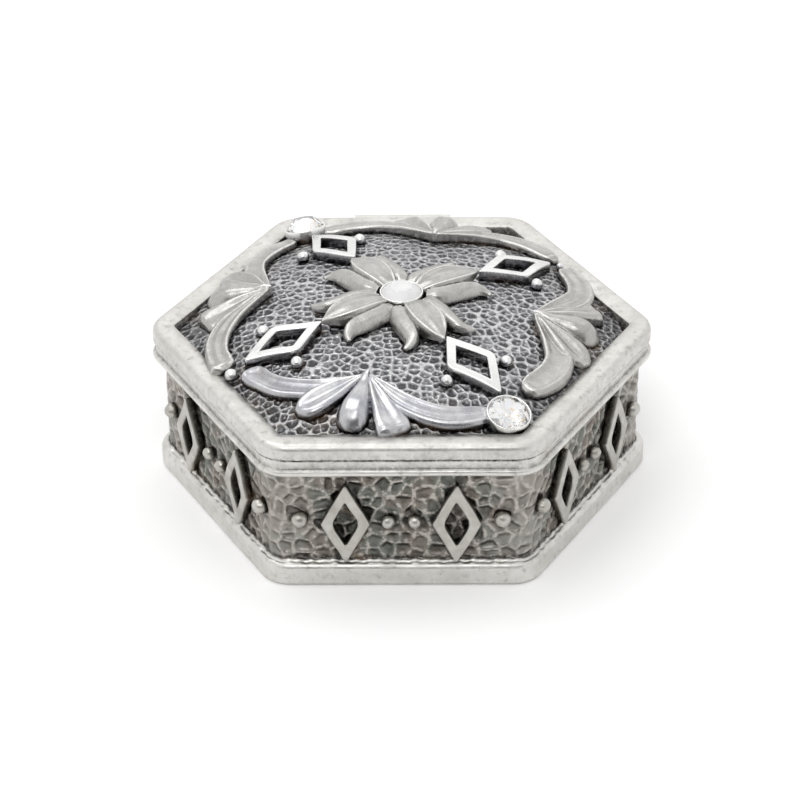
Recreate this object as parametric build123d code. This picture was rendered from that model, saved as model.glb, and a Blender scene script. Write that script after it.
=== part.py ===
from build123d import *
import os
from math import asin, atan2, cos, degrees, radians, sin, sqrt, tan

# Hexagonal rosary box in cast, soldered and polished pewter, in millimetres.
# Origin: middle of the flat underside. +Z up, the hinge at +Y, hexagon corners on the X axis.

SIDES = 6

# ---- base casting: each moulding stands out from the wall ----
WALL_APOTHEM = 28.8
WALL_CORNER = 3.0
WALL_THICKNESS = 1.6
WALL_HEIGHT = 14.3
FLOOR_THICKNESS = 2.0
FOOT_OVERHANG = 1.2
FOOT_HEIGHT = 3.4
FOOT_CORNER = 4.6
FOOT_LOWER_BEVEL = 0.6
BEAD_OVERHANG = 1.6
BEAD_HEIGHT = 1.05
BAND_OVERHANG = 1.2
BAND_HEIGHT = 1.45
BASE_RIM_CORNER = 4.8
RIM_EDGE_BEVEL = 0.2

# ---- lid casting: a shallow domed plate inside a raised rim ----
LID_OVERHANG = 1.5
LID_CORNER = 5.0
LID_RIM_HEIGHT = 2.3
LID_RIM_WIDTH = 3.25
LID_RIM_BEVEL = 0.6
RIM_INNER_CORNER = 0.8
CROWN_RISE = 6.0
CROWN_SAG = 1.65
SHOULDER_INSET = 7.55
SHOULDER_SLOPE = 14.4
SKIRT_INSET = 2.75
SKIRT_SLOPE = 19.0
PLATE_THICKNESS = 1.4
HOLLOW_INSET = 0.65

# ---- hinge ----
HINGE_LENGTH = 14.0
CENTRE_KNUCKLE = 4.7
KNUCKLE_GAP = 0.1
BARREL_RADIUS = 1.3
PIN_RADIUS = 0.6
PIN_CLEARANCE = 0.05
PIN_HEAD_RADIUS = 0.85
PIN_HEAD_HEIGHT = 0.3
BARREL_STANDOFF = 0.2
LEAF_THICKNESS = 0.6
LEAF_MARGIN = 0.5
LEAF_CLEARANCE = 0.12
LAND_INSET = 0.2
STOP_ANGLE = 105.0
STOP_CLEARANCE = 0.03
HEEL_DEPTH = 1.25

# ---- lid relief: angles about +Z from +X, and how far each hand-set casting is turned from true;
# a palmette also has how many relief units it grows from the rim's inner wall ----
RELIEF_UNITS = 27
PATTERN_TURN = 1.6
FLOWERS = {"right": (30, 1), "back": (120, 3), "left": (210, -1), "front": (300, -6)}
PALMETTES = {
    "front": (-103.4, 8.25, -2.9),
    "right": (-10.4, 8.55, -0.6),
    "back": (76.1, 7.75, 1.5),
    "left": (168.3, 8.35, 0.4),
}
SOLDER_LINE = 0.08
TRIM_GAP = 0.08
TOP_SHARE = 0.45

LOZENGE_PETAL_GAP = 0.1
LOZENGE_WAIST_SHARE = 0.475
LOZENGE_RIM_GAP = 2.3
LOZENGE_HALF_WIDTH = 3.5
LOZENGE_BAR = 1.25
LOZENGE_HEIGHT = 1.45
LOZENGE_CORNER_CUT = 1.3

BEAD_FACETS = 8
LID_BEAD_RADIUS = 0.9
LID_BEAD_GAP = 0.2
LID_BEAD_OFFSET = 0.7
END_BEADS = {"left": (0.9, 0.05), "right": (0.6, 0.1)}
BEAD_LIFT = 0.35
BEAD_SHOULDER_ANGLE = 52

# ---- stones and their cups ----
STONE_RADIUS = 2.7
STONE_FIT = 0.05
STONE_FACETS = 8
STONE_CROWN = 0.95
STONE_TABLE_RADIUS = 1.45
STONE_GIRDLE = 0.2
STONE_DEPTH = 0.85
STONE_CULET_RADIUS = 0.6
BREAK_STEEPER = 9.0
STAR_FLATTER = 12.0
CUP_WALL = 0.22
CUP_LIP = 0.18
CENTRE_CUP_HEIGHT = 1.3
CORNER_CUP_HEIGHT = 1.6
CORNER_STONE_CLEARANCE = 0.18
CORNER_STONES = {"front": 300, "back": 120}

# ---- wall trim ----
SIDE_LOZENGE_X = 7.3
SIDE_LOZENGE_HALF_WIDTH = 3.2
SIDE_LOZENGE_FOOT_GAP = 0.3
SIDE_LOZENGE_BEAD_GAP = 1.8
SIDE_LOZENGE_BAR = 1.3
SIDE_LOZENGE_HEIGHT = 1.1
SIDE_LOZENGE_CHAMFER = 0.15
END_BEAD_RADIUS = 1.0
END_BEAD_INSET = 1.6
END_BEAD_RISE = 0.5
MIDDLE_BEAD_RADIUS = 0.8
MIDDLE_BEAD_GAP = 1.6

# ---- sizes that follow ----
HALF_SECTOR = radians(180 / SIDES)
FOOT_APOTHEM = WALL_APOTHEM + FOOT_OVERHANG
BEAD_APOTHEM = WALL_APOTHEM + BEAD_OVERHANG
BAND_APOTHEM = WALL_APOTHEM + BAND_OVERHANG
LID_APOTHEM = WALL_APOTHEM + LID_OVERHANG
INNER_APOTHEM = WALL_APOTHEM - WALL_THICKNESS
INNER_CORNER = WALL_CORNER - WALL_THICKNESS
BEAD_BOTTOM = FOOT_HEIGHT + WALL_HEIGHT
SEAM_Z = BEAD_BOTTOM + BEAD_HEIGHT + BAND_HEIGHT
LID_TOP = SEAM_Z + LID_RIM_HEIGHT
CROWN_Z = SEAM_Z + CROWN_RISE
RIM_INNER_APOTHEM = LID_APOTHEM - LID_RIM_WIDTH
HOLLOW_APOTHEM = RIM_INNER_APOTHEM - HOLLOW_INSET
SHOULDER_REACH = RIM_INNER_APOTHEM - SHOULDER_INSET
SKIRT_REACH = RIM_INNER_APOTHEM - SKIRT_INSET
PLATE_REACH = RIM_INNER_APOTHEM / cos(HALF_SECTOR)
CROWN_RADIUS = (SHOULDER_REACH**2 + CROWN_SAG**2) / (2 * CROWN_SAG)
# the relief is drawn in units of this share of the lid recess, so that it fills it
RELIEF_UNIT = RIM_INNER_APOTHEM / RELIEF_UNITS
PLATE_FLOOR = SEAM_Z - PLATE_THICKNESS
PIVOT_Y = max(BEAD_APOTHEM, LID_APOTHEM) + BARREL_STANDOFF + BARREL_RADIUS
LAND_Y = max(BEAD_APOTHEM, LID_APOTHEM)
STANDOFF = PIVOT_Y - LAND_Y
CUP_RADIUS = STONE_RADIUS + STONE_FIT + CUP_WALL
# the corner cups stand in the corners of the raised rim, just clear of its two walls
CORNER_STONE_REACH = (RIM_INNER_APOTHEM - CUP_RADIUS - CORNER_STONE_CLEARANCE) / cos(HALF_SECTOR)
# the lozenges' outer tips stop at the foot of the leaning corner cups, and short of the rim
CUP_FOOT = CORNER_STONE_REACH - CUP_RADIUS * cos(radians(SKIRT_SLOPE))
LOZENGE_OUTER_TIP = min(CUP_FOOT - TRIM_GAP, RIM_INNER_APOTHEM - LOZENGE_RIM_GAP)
LID_BEAD_SPACE = LOZENGE_HALF_WIDTH + LID_BEAD_GAP + LID_BEAD_RADIUS
WALL_FLAT = (WALL_APOTHEM - WALL_CORNER) * tan(HALF_SECTOR)
SIDE_LOZENGE_HALF_HEIGHT = (BEAD_BOTTOM - SIDE_LOZENGE_BEAD_GAP - FOOT_HEIGHT - SIDE_LOZENGE_FOOT_GAP) / 2
SIDE_LOZENGE_Z = FOOT_HEIGHT + SIDE_LOZENGE_FOOT_GAP + SIDE_LOZENGE_HALF_HEIGHT


def hexagon(apothem, corner):
    """A hexagon with rounded corners, two of them on the X axis."""
    outline = RegularPolygon(apothem, SIDES, major_radius=False)
    return fillet(outline.vertices(), corner)


def hex_prism(apothem, corner, bottom, top):
    return extrude(Pos(0, 0, bottom) * hexagon(apothem, corner), top - bottom)


def bevelled(prism, lower, upper):
    """A prism with its bottom and top edges bevelled by these lengths; 0 leaves an edge sharp."""
    for place, length in ((0, lower), (-1, upper)):
        if length:
            prism = chamfer(prism.edges().group_by(Axis.Z)[place], length)
    return prism


def block(x, y, z):
    """A box between (low, high) pairs."""
    middle = Pos((x[0] + x[1]) / 2, (y[0] + y[1]) / 2, (z[0] + z[1]) / 2)
    return middle * Box(x[1] - x[0], y[1] - y[0], z[1] - z[0])


def crown_height(reach):
    return CROWN_Z - CROWN_RADIUS + sqrt(CROWN_RADIUS**2 - reach**2)


def plate_height(reach):
    """Height of the lid plate's outer face at this distance from its middle."""
    if reach <= SHOULDER_REACH:
        return crown_height(reach)
    shoulder = min(reach, SKIRT_REACH) - SHOULDER_REACH
    skirt = max(reach, SKIRT_REACH) - SKIRT_REACH
    drop = shoulder * tan(radians(SHOULDER_SLOPE)) + skirt * tan(radians(SKIRT_SLOPE))
    return crown_height(SHOULDER_REACH) - drop


def plate_slope(reach):
    """How steeply the lid plate falls at this distance, in degrees."""
    if reach <= SHOULDER_REACH:
        return degrees(asin(reach / CROWN_RADIUS))
    return SHOULDER_SLOPE if reach <= SKIRT_REACH else SKIRT_SLOPE


def under_plate(drop, band_starts=(SHOULDER_REACH, SKIRT_REACH)):
    """All the space under the plate's outer face lowered by drop: a crown and its conical bands."""
    crown = Pos(0, 0, CROWN_Z - CROWN_RADIUS - drop) * Rot(90, 0, 0) * Sphere(CROWN_RADIUS)
    bands = [(reach, plate_height(reach) - drop) for reach in (*band_starts, PLATE_REACH)]
    (near, near_z), (far, far_z) = bands[:2]
    peak = near_z + near * (near_z - far_z) / (far - near)
    outline = Polyline((0, PLATE_FLOOR), (PLATE_REACH, PLATE_FLOOR), *bands[:0:-1], (0, peak), close=True)
    return revolve(make_face(Plane.XZ * outline), Axis.Z) & crown


def polar(reach, angle, side=0.0):
    """Plan position at a distance along a direction, and to its left."""
    a = radians(angle)
    return reach * cos(a) - side * sin(a), reach * sin(a) + side * cos(a)


def on_plate(reach, angle, lift):
    """A place on the lid plate's outer face, square to its slope and raised by lift."""
    face = Rot(0, 0, angle) * Pos(reach, 0, plate_height(reach)) * Rot(0, plate_slope(reach), 0)
    return face * Pos(0, 0, lift)


def skin(rings):
    """A solid between rings of points, its skin in flat facets."""
    faces = [Face(Wire.make_polygon(rings[0])), Face(Wire.make_polygon(rings[-1]))]
    for near, far in zip(rings, rings[1:]):
        for i in range(len(near)):
            j = (i + 1) % len(near)
            faces.append(Face(Wire.make_polygon([near[i], near[j], far[j]])))
            faces.append(Face(Wire.make_polygon([near[i], far[j], far[i]])))
    return Solid(Shell(faces)).clean()


# ---------------------------------------------------------------- base and lid castings
def make_base_shell():
    foot = hex_prism(FOOT_APOTHEM, FOOT_CORNER, 0, FOOT_HEIGHT)
    foot = bevelled(foot, FOOT_LOWER_BEVEL, 0)
    wall = hex_prism(WALL_APOTHEM, WALL_CORNER, FOOT_HEIGHT, BEAD_BOTTOM)
    bead_top = BEAD_BOTTOM + BEAD_HEIGHT
    bead = hex_prism(BEAD_APOTHEM, BASE_RIM_CORNER, BEAD_BOTTOM, bead_top)
    bead = bevelled(bead, RIM_EDGE_BEVEL, RIM_EDGE_BEVEL)
    band = hex_prism(BAND_APOTHEM, BASE_RIM_CORNER, bead_top, SEAM_Z)
    band = bevelled(band, 0, RIM_EDGE_BEVEL)
    half = HINGE_LENGTH / 2 + LEAF_MARGIN
    land = block((-half, half), (WALL_APOTHEM, LAND_Y), (BEAD_BOTTOM, SEAM_Z - LAND_INSET))
    hollow = hex_prism(INNER_APOTHEM, INNER_CORNER, FLOOR_THICKNESS, SEAM_Z)
    return foot + wall + bead + band + land - hollow


def make_lid_shell():
    rim = hex_prism(LID_APOTHEM, LID_CORNER, SEAM_Z, LID_TOP)
    rim = bevelled(rim, RIM_EDGE_BEVEL, LID_RIM_BEVEL)
    recess = hex_prism(RIM_INNER_APOTHEM, RIM_INNER_CORNER, SEAM_Z, CROWN_Z + 1)
    rim -= recess
    half = HINGE_LENGTH / 2 + LEAF_MARGIN
    land_top = LID_TOP - LID_RIM_BEVEL
    land = block((-half, half), (RIM_INNER_APOTHEM, LAND_Y), (SEAM_Z + LAND_INSET, land_top))
    plate = recess & under_plate(0)
    hollow = hex_prism(HOLLOW_APOTHEM, RIM_INNER_CORNER, SEAM_Z, CROWN_Z)
    hollow &= under_plate(PLATE_THICKNESS, [SHOULDER_REACH])
    return rim + land + plate - hollow


# ---------------------------------------------------------------- hinge
def hinge_cylinder(radius, start, end):
    """A cylinder along the hinge line between two X positions."""
    middle = Pos((start + end) / 2, PIVOT_Y, SEAM_Z)
    return middle * Rot(0, 90, 0) * Cylinder(radius, end - start)


def leaf_plate(start, end, low, high):
    """Part of a leaf, soldered flat on its land, between two heights about the hinge line."""
    return block((start, end), (LAND_Y, LAND_Y + LEAF_THICKNESS), (SEAM_Z + low, SEAM_Z + high))


def knuckle_web(start, end, low, high):
    """The neck that joins a knuckle to its leaf."""
    return block((start, end), (LAND_Y, PIVOT_Y - BARREL_RADIUS / 2), (SEAM_Z + low, SEAM_Z + high))


def make_hinge_leaf_base():
    half = HINGE_LENGTH / 2
    inner = CENTRE_KNUCKLE / 2 + KNUCKLE_GAP
    low = BEAD_BOTTOM + RIM_EDGE_BEVEL - SEAM_Z
    heel_reach = sqrt(STANDOFF**2 + HEEL_DEPTH**2) + LEAF_CLEARANCE
    strip_top = -sqrt(heel_reach**2 - (STANDOFF - LEAF_THICKNESS) ** 2)
    leaf = leaf_plate(-half, half, low, strip_top)
    for start, end in [(-half, -inner), (inner, half)]:
        leaf += knuckle_web(start, end, low, -LAND_INSET)
        leaf += hinge_cylinder(BARREL_RADIUS, start, end)
    return leaf - hinge_cylinder(PIN_RADIUS + PIN_CLEARANCE, -half, half)


def make_hinge_leaf_lid():
    half = HINGE_LENGTH / 2
    knuckle = CENTRE_KNUCKLE / 2
    low = sqrt((BARREL_RADIUS + LEAF_CLEARANCE) ** 2 - (STANDOFF - LEAF_THICKNESS) ** 2)
    high = LID_RIM_HEIGHT - LID_RIM_BEVEL
    leaf = leaf_plate(-half, half, low, high)
    leaf += knuckle_web(-knuckle, knuckle, LAND_INSET, high)
    leaf += hinge_cylinder(BARREL_RADIUS, -knuckle, knuckle)
    # The heel lies flat on the base's land when the lid is fully open; here it is turned back to closed.
    heel = block((-knuckle, knuckle), (STOP_CLEARANCE - STANDOFF, 0), (-HEEL_DEPTH, 0))
    leaf += Pos(0, PIVOT_Y, SEAM_Z) * Rot(STOP_ANGLE, 0, 0) * heel
    return leaf - hinge_cylinder(PIN_RADIUS + PIN_CLEARANCE, -half, half)


def make_hinge_pin():
    half = HINGE_LENGTH / 2
    pin = hinge_cylinder(PIN_RADIUS, -half - PIN_HEAD_HEIGHT, half + PIN_HEAD_HEIGHT)
    for side in (-1, 1):
        inner, outer = sorted((side * half, side * (half + PIN_HEAD_HEIGHT)))
        pin += hinge_cylinder(PIN_HEAD_RADIUS, inner, outer)
    return pin


# ---------------------------------------------------------------- relief on the lid
def blade(stations, place):
    """A petal or leaf skinned along a line in plan.

    Each station is (along, across, half width, height of the left edge, of the middle, of the right
    edge, height of the underside), with heights above the lid plate. The underside follows the plate."""
    x, y, turn = place
    stations = [[RELIEF_UNIT * value for value in station] for station in stations]
    points = [Vector(s[0], s[1]) for s in stations]
    rings = []
    for i, (_, _, half, left, middle, right, under) in enumerate(stations):
        course = (points[min(i + 1, len(points) - 1)] - points[max(i - 1, 0)]).normalized()
        leftward = Vector(-course.Y, course.X)
        height = plate_height((Vector(x, y) + points[i].rotate(Axis.Z, turn)).length)
        ring = []
        for share, top in ((1, left), (TOP_SHARE, middle), (-TOP_SHARE, middle), (-1, right)):
            spot = Vector(x, y) + (points[i] + leftward * half * share).rotate(Axis.Z, turn)
            ring.append(Vector(spot.X, spot.Y, height + top))
        for spot in (ring[-1], ring[0]):
            ring.append(Vector(spot.X, spot.Y, plate_height(Vector(spot.X, spot.Y).length) + SOLDER_LINE + under))
        rings.append(ring)
    return skin(rings)


# (along, across, half width, left, middle, right, underside); across is positive to the left.
# All are in relief units, and a petal starts from the centre cup's edge.
CENTRE_PETAL = [
    (0.15, 0.0, 1.20, 1.1, 1.4, 1.1, 0),
    (1.95, 0.0, 1.70, 1.7, 2.1, 1.7, 0),
    (4.25, 0.0, 1.80, 1.9, 2.4, 1.9, 0),
    (6.65, 0.0, 1.35, 1.8, 2.0, 1.8, 0.2),
    (8.25, 0.0, 0.65, 1.6, 1.65, 1.6, 0.5),
    (9.45, 0.0, 0.15, 1.4, 1.4, 1.4, 0.7),
]
SIDE_PETAL = [
    (-0.05, 1.5, 0.55, 0.7, 1.1, 1.0, 0),
    (1.55, 2.2, 0.90, 0.8, 1.6, 1.5, 0),
    (3.65, 2.40, 1.00, 0.8, 1.7, 1.6, 0),
    (5.95, 2.65, 0.95, 0.8, 1.6, 1.5, 0),
    (7.65, 3.25, 0.75, 0.8, 1.3, 1.3, 0.3),
    (8.95, 4.60, 0.15, 0.9, 1.0, 1.0, 0.4),
]
MIDDLE_LOBE = [
    (-0.1, 0.0, 0.35, 1.6, 1.9, 1.6, 0),
    (2.2, 0.0, 1.05, 0.9, 1.6, 0.9, 0),
    (4.4, 0.0, 1.80, 0.8, 2.1, 0.8, 0),
    (6.4, 0.0, 2.15, 0.6, 2.3, 0.6, 0),
    (7.8, 0.0, 1.65, 0.4, 1.9, 0.4, 0),
    (8.8, 0.0, 0.70, 0.2, 0.9, 0.2, 0),
]
SIDE_LOBE = [
    (0.6, 0.0, 0.30, 1.5, 1.4, 1.5, 0),
    (3.0, 0.0, 0.80, 1.3, 0.8, 1.3, 0),
    (5.2, 0.0, 1.30, 1.3, 0.7, 1.3, 0),
    (7.4, 0.0, 1.60, 1.3, 0.7, 1.3, 0),
    (9.2, 0.0, 1.35, 1.2, 0.9, 1.2, 0),
    (10.3, 0.0, 0.60, 0.9, 0.9, 0.9, 0),
]
SIDE_LOBE_SPREAD = 38.5
LOZENGE_INNER_TIP = CUP_RADIUS + CENTRE_PETAL[-1][0] * RELIEF_UNIT + LOZENGE_PETAL_GAP
LOZENGE_WAIST = LOZENGE_INNER_TIP + (LOZENGE_OUTER_TIP - LOZENGE_INNER_TIP) * LOZENGE_WAIST_SHARE
LID_BEAD_REACH = LOZENGE_WAIST + LID_BEAD_OFFSET
ARM = [
    (0.2, 0.5, 0.30, 1.9, 1.8, 1.6, 0),
    (2.0, 3.3, 0.75, 1.5, 1.1, 0.9, 0),
    (3.5, 6.0, 1.15, 1.4, 1.0, 0.9, 0),
    (4.2, 8.8, 1.25, 1.4, 1.0, 0.9, 0),
    (4.0, 11.6, 1.30, 1.4, 1.0, 0.9, 0),
    (3.0, 14.2, 1.30, 1.4, 1.0, 0.9, 0),
    (1.7, 16.1, 1.05, 1.3, 1.1, 0.9, 0),
    (1.0, 17.0, 0.50, 1.1, 1.1, 0.9, 0),
]


def mirrored(stations):
    """The same blade on the other side of the line it grows from."""
    return [(u, -v, half, right, middle, left, under) for u, v, half, left, middle, right, under in stations]


def rim_room():
    """The space of the raised rim, which the relief is trimmed to."""
    ring = hex_prism(LID_APOTHEM, LID_CORNER, SEAM_Z, LID_TOP + TRIM_GAP)
    return ring - hex_prism(RIM_INNER_APOTHEM - TRIM_GAP, RIM_INNER_CORNER, SEAM_Z, LID_TOP + TRIM_GAP)


def make_flower(angle, turn):
    heading = angle + PATTERN_TURN + turn
    place = (*polar(CUP_RADIUS, heading), heading)
    return blade(CENTRE_PETAL, place) + blade(SIDE_PETAL, place) + blade(mirrored(SIDE_PETAL), place)


def make_palmette(angle, from_rim, turn):
    x, y = polar(RIM_INNER_APOTHEM - from_rim * RELIEF_UNIT, angle)
    place = (x, y, angle + turn)
    palmette = blade(MIDDLE_LOBE, place)
    palmette += blade(SIDE_LOBE, (x, y, angle + turn + SIDE_LOBE_SPREAD))
    palmette += blade(SIDE_LOBE, (x, y, angle + turn - SIDE_LOBE_SPREAD))
    palmette += blade(ARM, place)
    palmette += blade(mirrored(ARM), place)
    for name in CORNER_STONES:
        palmette -= cup_place(name) * Cylinder(CUP_RADIUS + TRIM_GAP, 4 * CORNER_CUP_HEIGHT)
    return palmette - rim_room()


def make_lozenge(angle):
    """An open lozenge frame of square bar, blunt at its sides, bent once across its waist to suit the plate."""
    half = LOZENGE_HALF_WIDTH
    tips = (LOZENGE_INNER_TIP, LOZENGE_OUTER_TIP)
    outline = Polyline((tips[0], 0), (LOZENGE_WAIST, half), (tips[1], 0), (LOZENGE_WAIST, -half), close=True)
    outer = make_face(outline)
    inner = offset(outer, -LOZENGE_BAR, kind=Kind.INTERSECTION)
    outer = chamfer(outer.vertices().group_by(Axis.X)[1], LOZENGE_CORNER_CUT)
    low = plate_height(LOZENGE_OUTER_TIP)
    top = [(reach, plate_height(reach) + LOZENGE_HEIGHT) for reach in (tips[0], LOZENGE_WAIST, tips[1])]
    side = make_face(Plane.XZ * Polyline((tips[0], low), *top, (tips[1], low), close=True))
    frame = extrude(Pos(0, 0, low) * (outer - inner), CROWN_Z + LOZENGE_HEIGHT - low)
    frame = frame & extrude(side, half, both=True)
    return Rot(0, 0, angle + PATTERN_TURN) * (frame - under_plate(0))


def seated_bead(place, radius):
    """A shot of metal, flattened where it is soldered on, in flat facets."""
    shoulder = radians(BEAD_SHOULDER_ANGLE)
    levels = [(sqrt(radius**2 - BEAD_LIFT**2), 0), (radius, BEAD_LIFT)]
    levels.append((radius * cos(shoulder), BEAD_LIFT + radius * sin(shoulder)))
    rings = []
    for reach, height in levels:
        corner = Vector(reach, 0, height)
        rings.append([corner.rotate(Axis.Z, 360 * i / BEAD_FACETS) for i in range(BEAD_FACETS)])
    return place * skin(rings)


def make_lid_beads():
    """Shot set beside each lozenge, with one more at two of the outer tips."""
    beads = []
    for angle, turn in FLOWERS.values():
        for side in (-1, 1):
            reach = sqrt(LID_BEAD_REACH**2 + LID_BEAD_SPACE**2)
            swing = side * degrees(atan2(LID_BEAD_SPACE, LID_BEAD_REACH))
            place = on_plate(reach, angle + PATTERN_TURN + swing, SOLDER_LINE)
            beads.append(seated_bead(place, LID_BEAD_RADIUS))
    for name, (radius, gap) in END_BEADS.items():
        place = on_plate(RIM_INNER_APOTHEM - gap - radius, FLOWERS[name][0] + PATTERN_TURN, SOLDER_LINE)
        beads.append(seated_bead(place, radius))
    return Compound(beads)


# ---------------------------------------------------------------- stones
def cup_place(name):
    """Where a cup stands: on the plate, square to its slope."""
    if name == "centre":
        return on_plate(0, 0, SOLDER_LINE)
    return on_plate(CORNER_STONE_REACH, CORNER_STONES[name], SOLDER_LINE)


def cup_height(name):
    return CENTRE_CUP_HEIGHT if name == "centre" else CORNER_CUP_HEIGHT


def make_cup(name):
    """A turned cup with a flat seat for the stone."""
    girdle = cup_height(name)
    lip = girdle + CUP_LIP
    bore = STONE_RADIUS + STONE_FIT
    seat = girdle - STONE_GIRDLE - STONE_DEPTH
    outline = [(0, 0), (CUP_RADIUS, 0), (CUP_RADIUS, lip), (bore, lip), (bore, seat), (0, seat)]
    profile = make_face(Plane.XZ * Polyline(*outline, close=True))
    return cup_place(name) * revolve(profile, Axis.Z)


def ground(stone, count, turn, reach, height, slope):
    """The stone after count flats are ground round it, each at this slope through (reach, height)."""
    for i in range(count):
        around = Rot(0, 0, turn + 360 * i / count)
        flat = around * Pos(reach, 0, height) * Rot(0, slope, 0)
        stone = split(stone, bisect_by=Plane(flat), keep=Keep.BOTTOM)
    return stone


def make_stone(name):
    """A brilliant-cut stone: table, main, break and star facets, a girdle, a pavilion and a culet."""
    girdle = cup_height(name)
    low = girdle - STONE_GIRDLE
    half = 180 / STONE_FACETS
    main = degrees(atan2(STONE_CROWN, STONE_RADIUS - STONE_TABLE_RADIUS))
    star_reach = STONE_TABLE_RADIUS / cos(radians(half))
    blank = Pos(0, 0, girdle - STONE_GIRDLE - STONE_DEPTH)
    blank *= extrude(RegularPolygon(STONE_RADIUS, 2 * STONE_FACETS), STONE_DEPTH + STONE_GIRDLE + STONE_CROWN)
    stone = ground(blank, STONE_FACETS, 0, STONE_RADIUS, girdle, main)
    stone = ground(stone, 2 * STONE_FACETS, half / 2, STONE_RADIUS * cos(radians(half / 2)), girdle, main + BREAK_STEEPER)
    stone = ground(stone, STONE_FACETS, half, STONE_TABLE_RADIUS, girdle + STONE_CROWN, main - STAR_FLATTER)
    under = degrees(atan2(STONE_DEPTH, STONE_RADIUS - STONE_CULET_RADIUS))
    return cup_place(name) * ground(stone, STONE_FACETS, 0, STONE_RADIUS, low, 180 - under)


# ---------------------------------------------------------------- trim on the walls
def wall_place(side):
    """The middle of one wall's lower edge, with X along the wall, Y up it and Z outward."""
    angle = 270 + 360 / SIDES * side
    x, y = polar(WALL_APOTHEM, angle)
    along = polar(1, angle + 90)
    return Location(Plane((x, y, 0), x_dir=(*along, 0), z_dir=(x, y, 0)))


def make_side_lozenge(side, x):
    wide, tall = SIDE_LOZENGE_HALF_WIDTH, SIDE_LOZENGE_HALF_HEIGHT
    outer = make_face(Polyline((wide, 0), (0, tall), (-wide, 0), (0, -tall), close=True))
    inner = offset(outer, -SIDE_LOZENGE_BAR, kind=Kind.INTERSECTION)
    frame = extrude(outer - inner, SIDE_LOZENGE_HEIGHT)
    frame = chamfer(frame.faces().sort_by(Axis.Z)[-1].edges(), SIDE_LOZENGE_CHAMFER)
    return wall_place(side) * Pos(x, SIDE_LOZENGE_Z, 0) * frame


def make_side_beads(side):
    """Two shot either side of the wall's middle, and one near each corner, a little higher."""
    beads = []
    for way in (-1, 1):
        near = Pos(way * MIDDLE_BEAD_GAP, SIDE_LOZENGE_Z, 0)
        far = Pos(way * (WALL_FLAT - END_BEAD_INSET), SIDE_LOZENGE_Z + END_BEAD_RISE, 0)
        beads.append(seated_bead(wall_place(side) * near, MIDDLE_BEAD_RADIUS))
        beads.append(seated_bead(wall_place(side) * far, END_BEAD_RADIUS))
    return Compound(beads)


# ---------------------------------------------------------------- all the pieces
def all_parts():
    parts = {
        "base_shell": make_base_shell(),
        "lid_shell": make_lid_shell(),
        "hinge_leaf_base": make_hinge_leaf_base(),
        "hinge_leaf_lid": make_hinge_leaf_lid(),
        "hinge_pin": make_hinge_pin(),
        "lid_beads": make_lid_beads(),
    }
    for name, (angle, turn) in FLOWERS.items():
        parts[f"flower_{name}"] = make_flower(angle, turn)
        parts[f"lozenge_{name}"] = make_lozenge(angle)
    for name, (angle, from_rim, turn) in PALMETTES.items():
        parts[f"palmette_{name}"] = make_palmette(angle, from_rim, turn)
    for name in ("centre", *CORNER_STONES):
        parts[f"stone_cup_{name}"] = make_cup(name)
        parts[f"stone_{name}"] = make_stone(name)
    for side in range(SIDES):
        parts[f"wall_{side + 1}_lozenge_a"] = make_side_lozenge(side, -SIDE_LOZENGE_X)
        parts[f"wall_{side + 1}_lozenge_b"] = make_side_lozenge(side, SIDE_LOZENGE_X)
        parts[f"wall_{side + 1}_beads"] = make_side_beads(side)
    return parts


PARTS = all_parts()
os.makedirs("parts", exist_ok=True)
for part_name, part in PARTS.items():
    export_step(part, f"parts/{part_name}.step")
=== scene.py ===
from math import asin, atan2, cos, degrees, pi, radians, sin, sqrt, tan

import bmesh
import bpy
import numpy as np
from mathutils import Matrix, Vector
from mathutils.kdtree import KDTree


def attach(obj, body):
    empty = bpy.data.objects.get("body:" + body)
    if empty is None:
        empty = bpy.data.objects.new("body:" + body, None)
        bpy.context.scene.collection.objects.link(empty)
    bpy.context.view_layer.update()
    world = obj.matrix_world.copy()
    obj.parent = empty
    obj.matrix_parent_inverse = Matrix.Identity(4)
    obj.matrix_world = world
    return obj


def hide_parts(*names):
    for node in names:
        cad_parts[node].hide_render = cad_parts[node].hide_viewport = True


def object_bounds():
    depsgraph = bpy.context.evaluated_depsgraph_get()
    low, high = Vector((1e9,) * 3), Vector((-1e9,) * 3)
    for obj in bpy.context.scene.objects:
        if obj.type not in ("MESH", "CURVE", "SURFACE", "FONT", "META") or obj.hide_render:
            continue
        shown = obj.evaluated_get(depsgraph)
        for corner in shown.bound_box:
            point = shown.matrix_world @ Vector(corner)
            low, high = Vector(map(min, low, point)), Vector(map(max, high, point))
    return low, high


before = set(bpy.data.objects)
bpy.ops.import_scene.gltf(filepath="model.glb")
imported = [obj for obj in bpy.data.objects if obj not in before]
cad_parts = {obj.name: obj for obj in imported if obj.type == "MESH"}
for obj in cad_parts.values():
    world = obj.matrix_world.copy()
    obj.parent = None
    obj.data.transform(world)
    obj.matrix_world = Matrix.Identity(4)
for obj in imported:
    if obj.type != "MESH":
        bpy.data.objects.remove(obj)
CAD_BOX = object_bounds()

# A hexagonal rosary box in cast, antiqued pewter. Sizes are in millimetres; meshes are written in metres.
MM = 0.001

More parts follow.
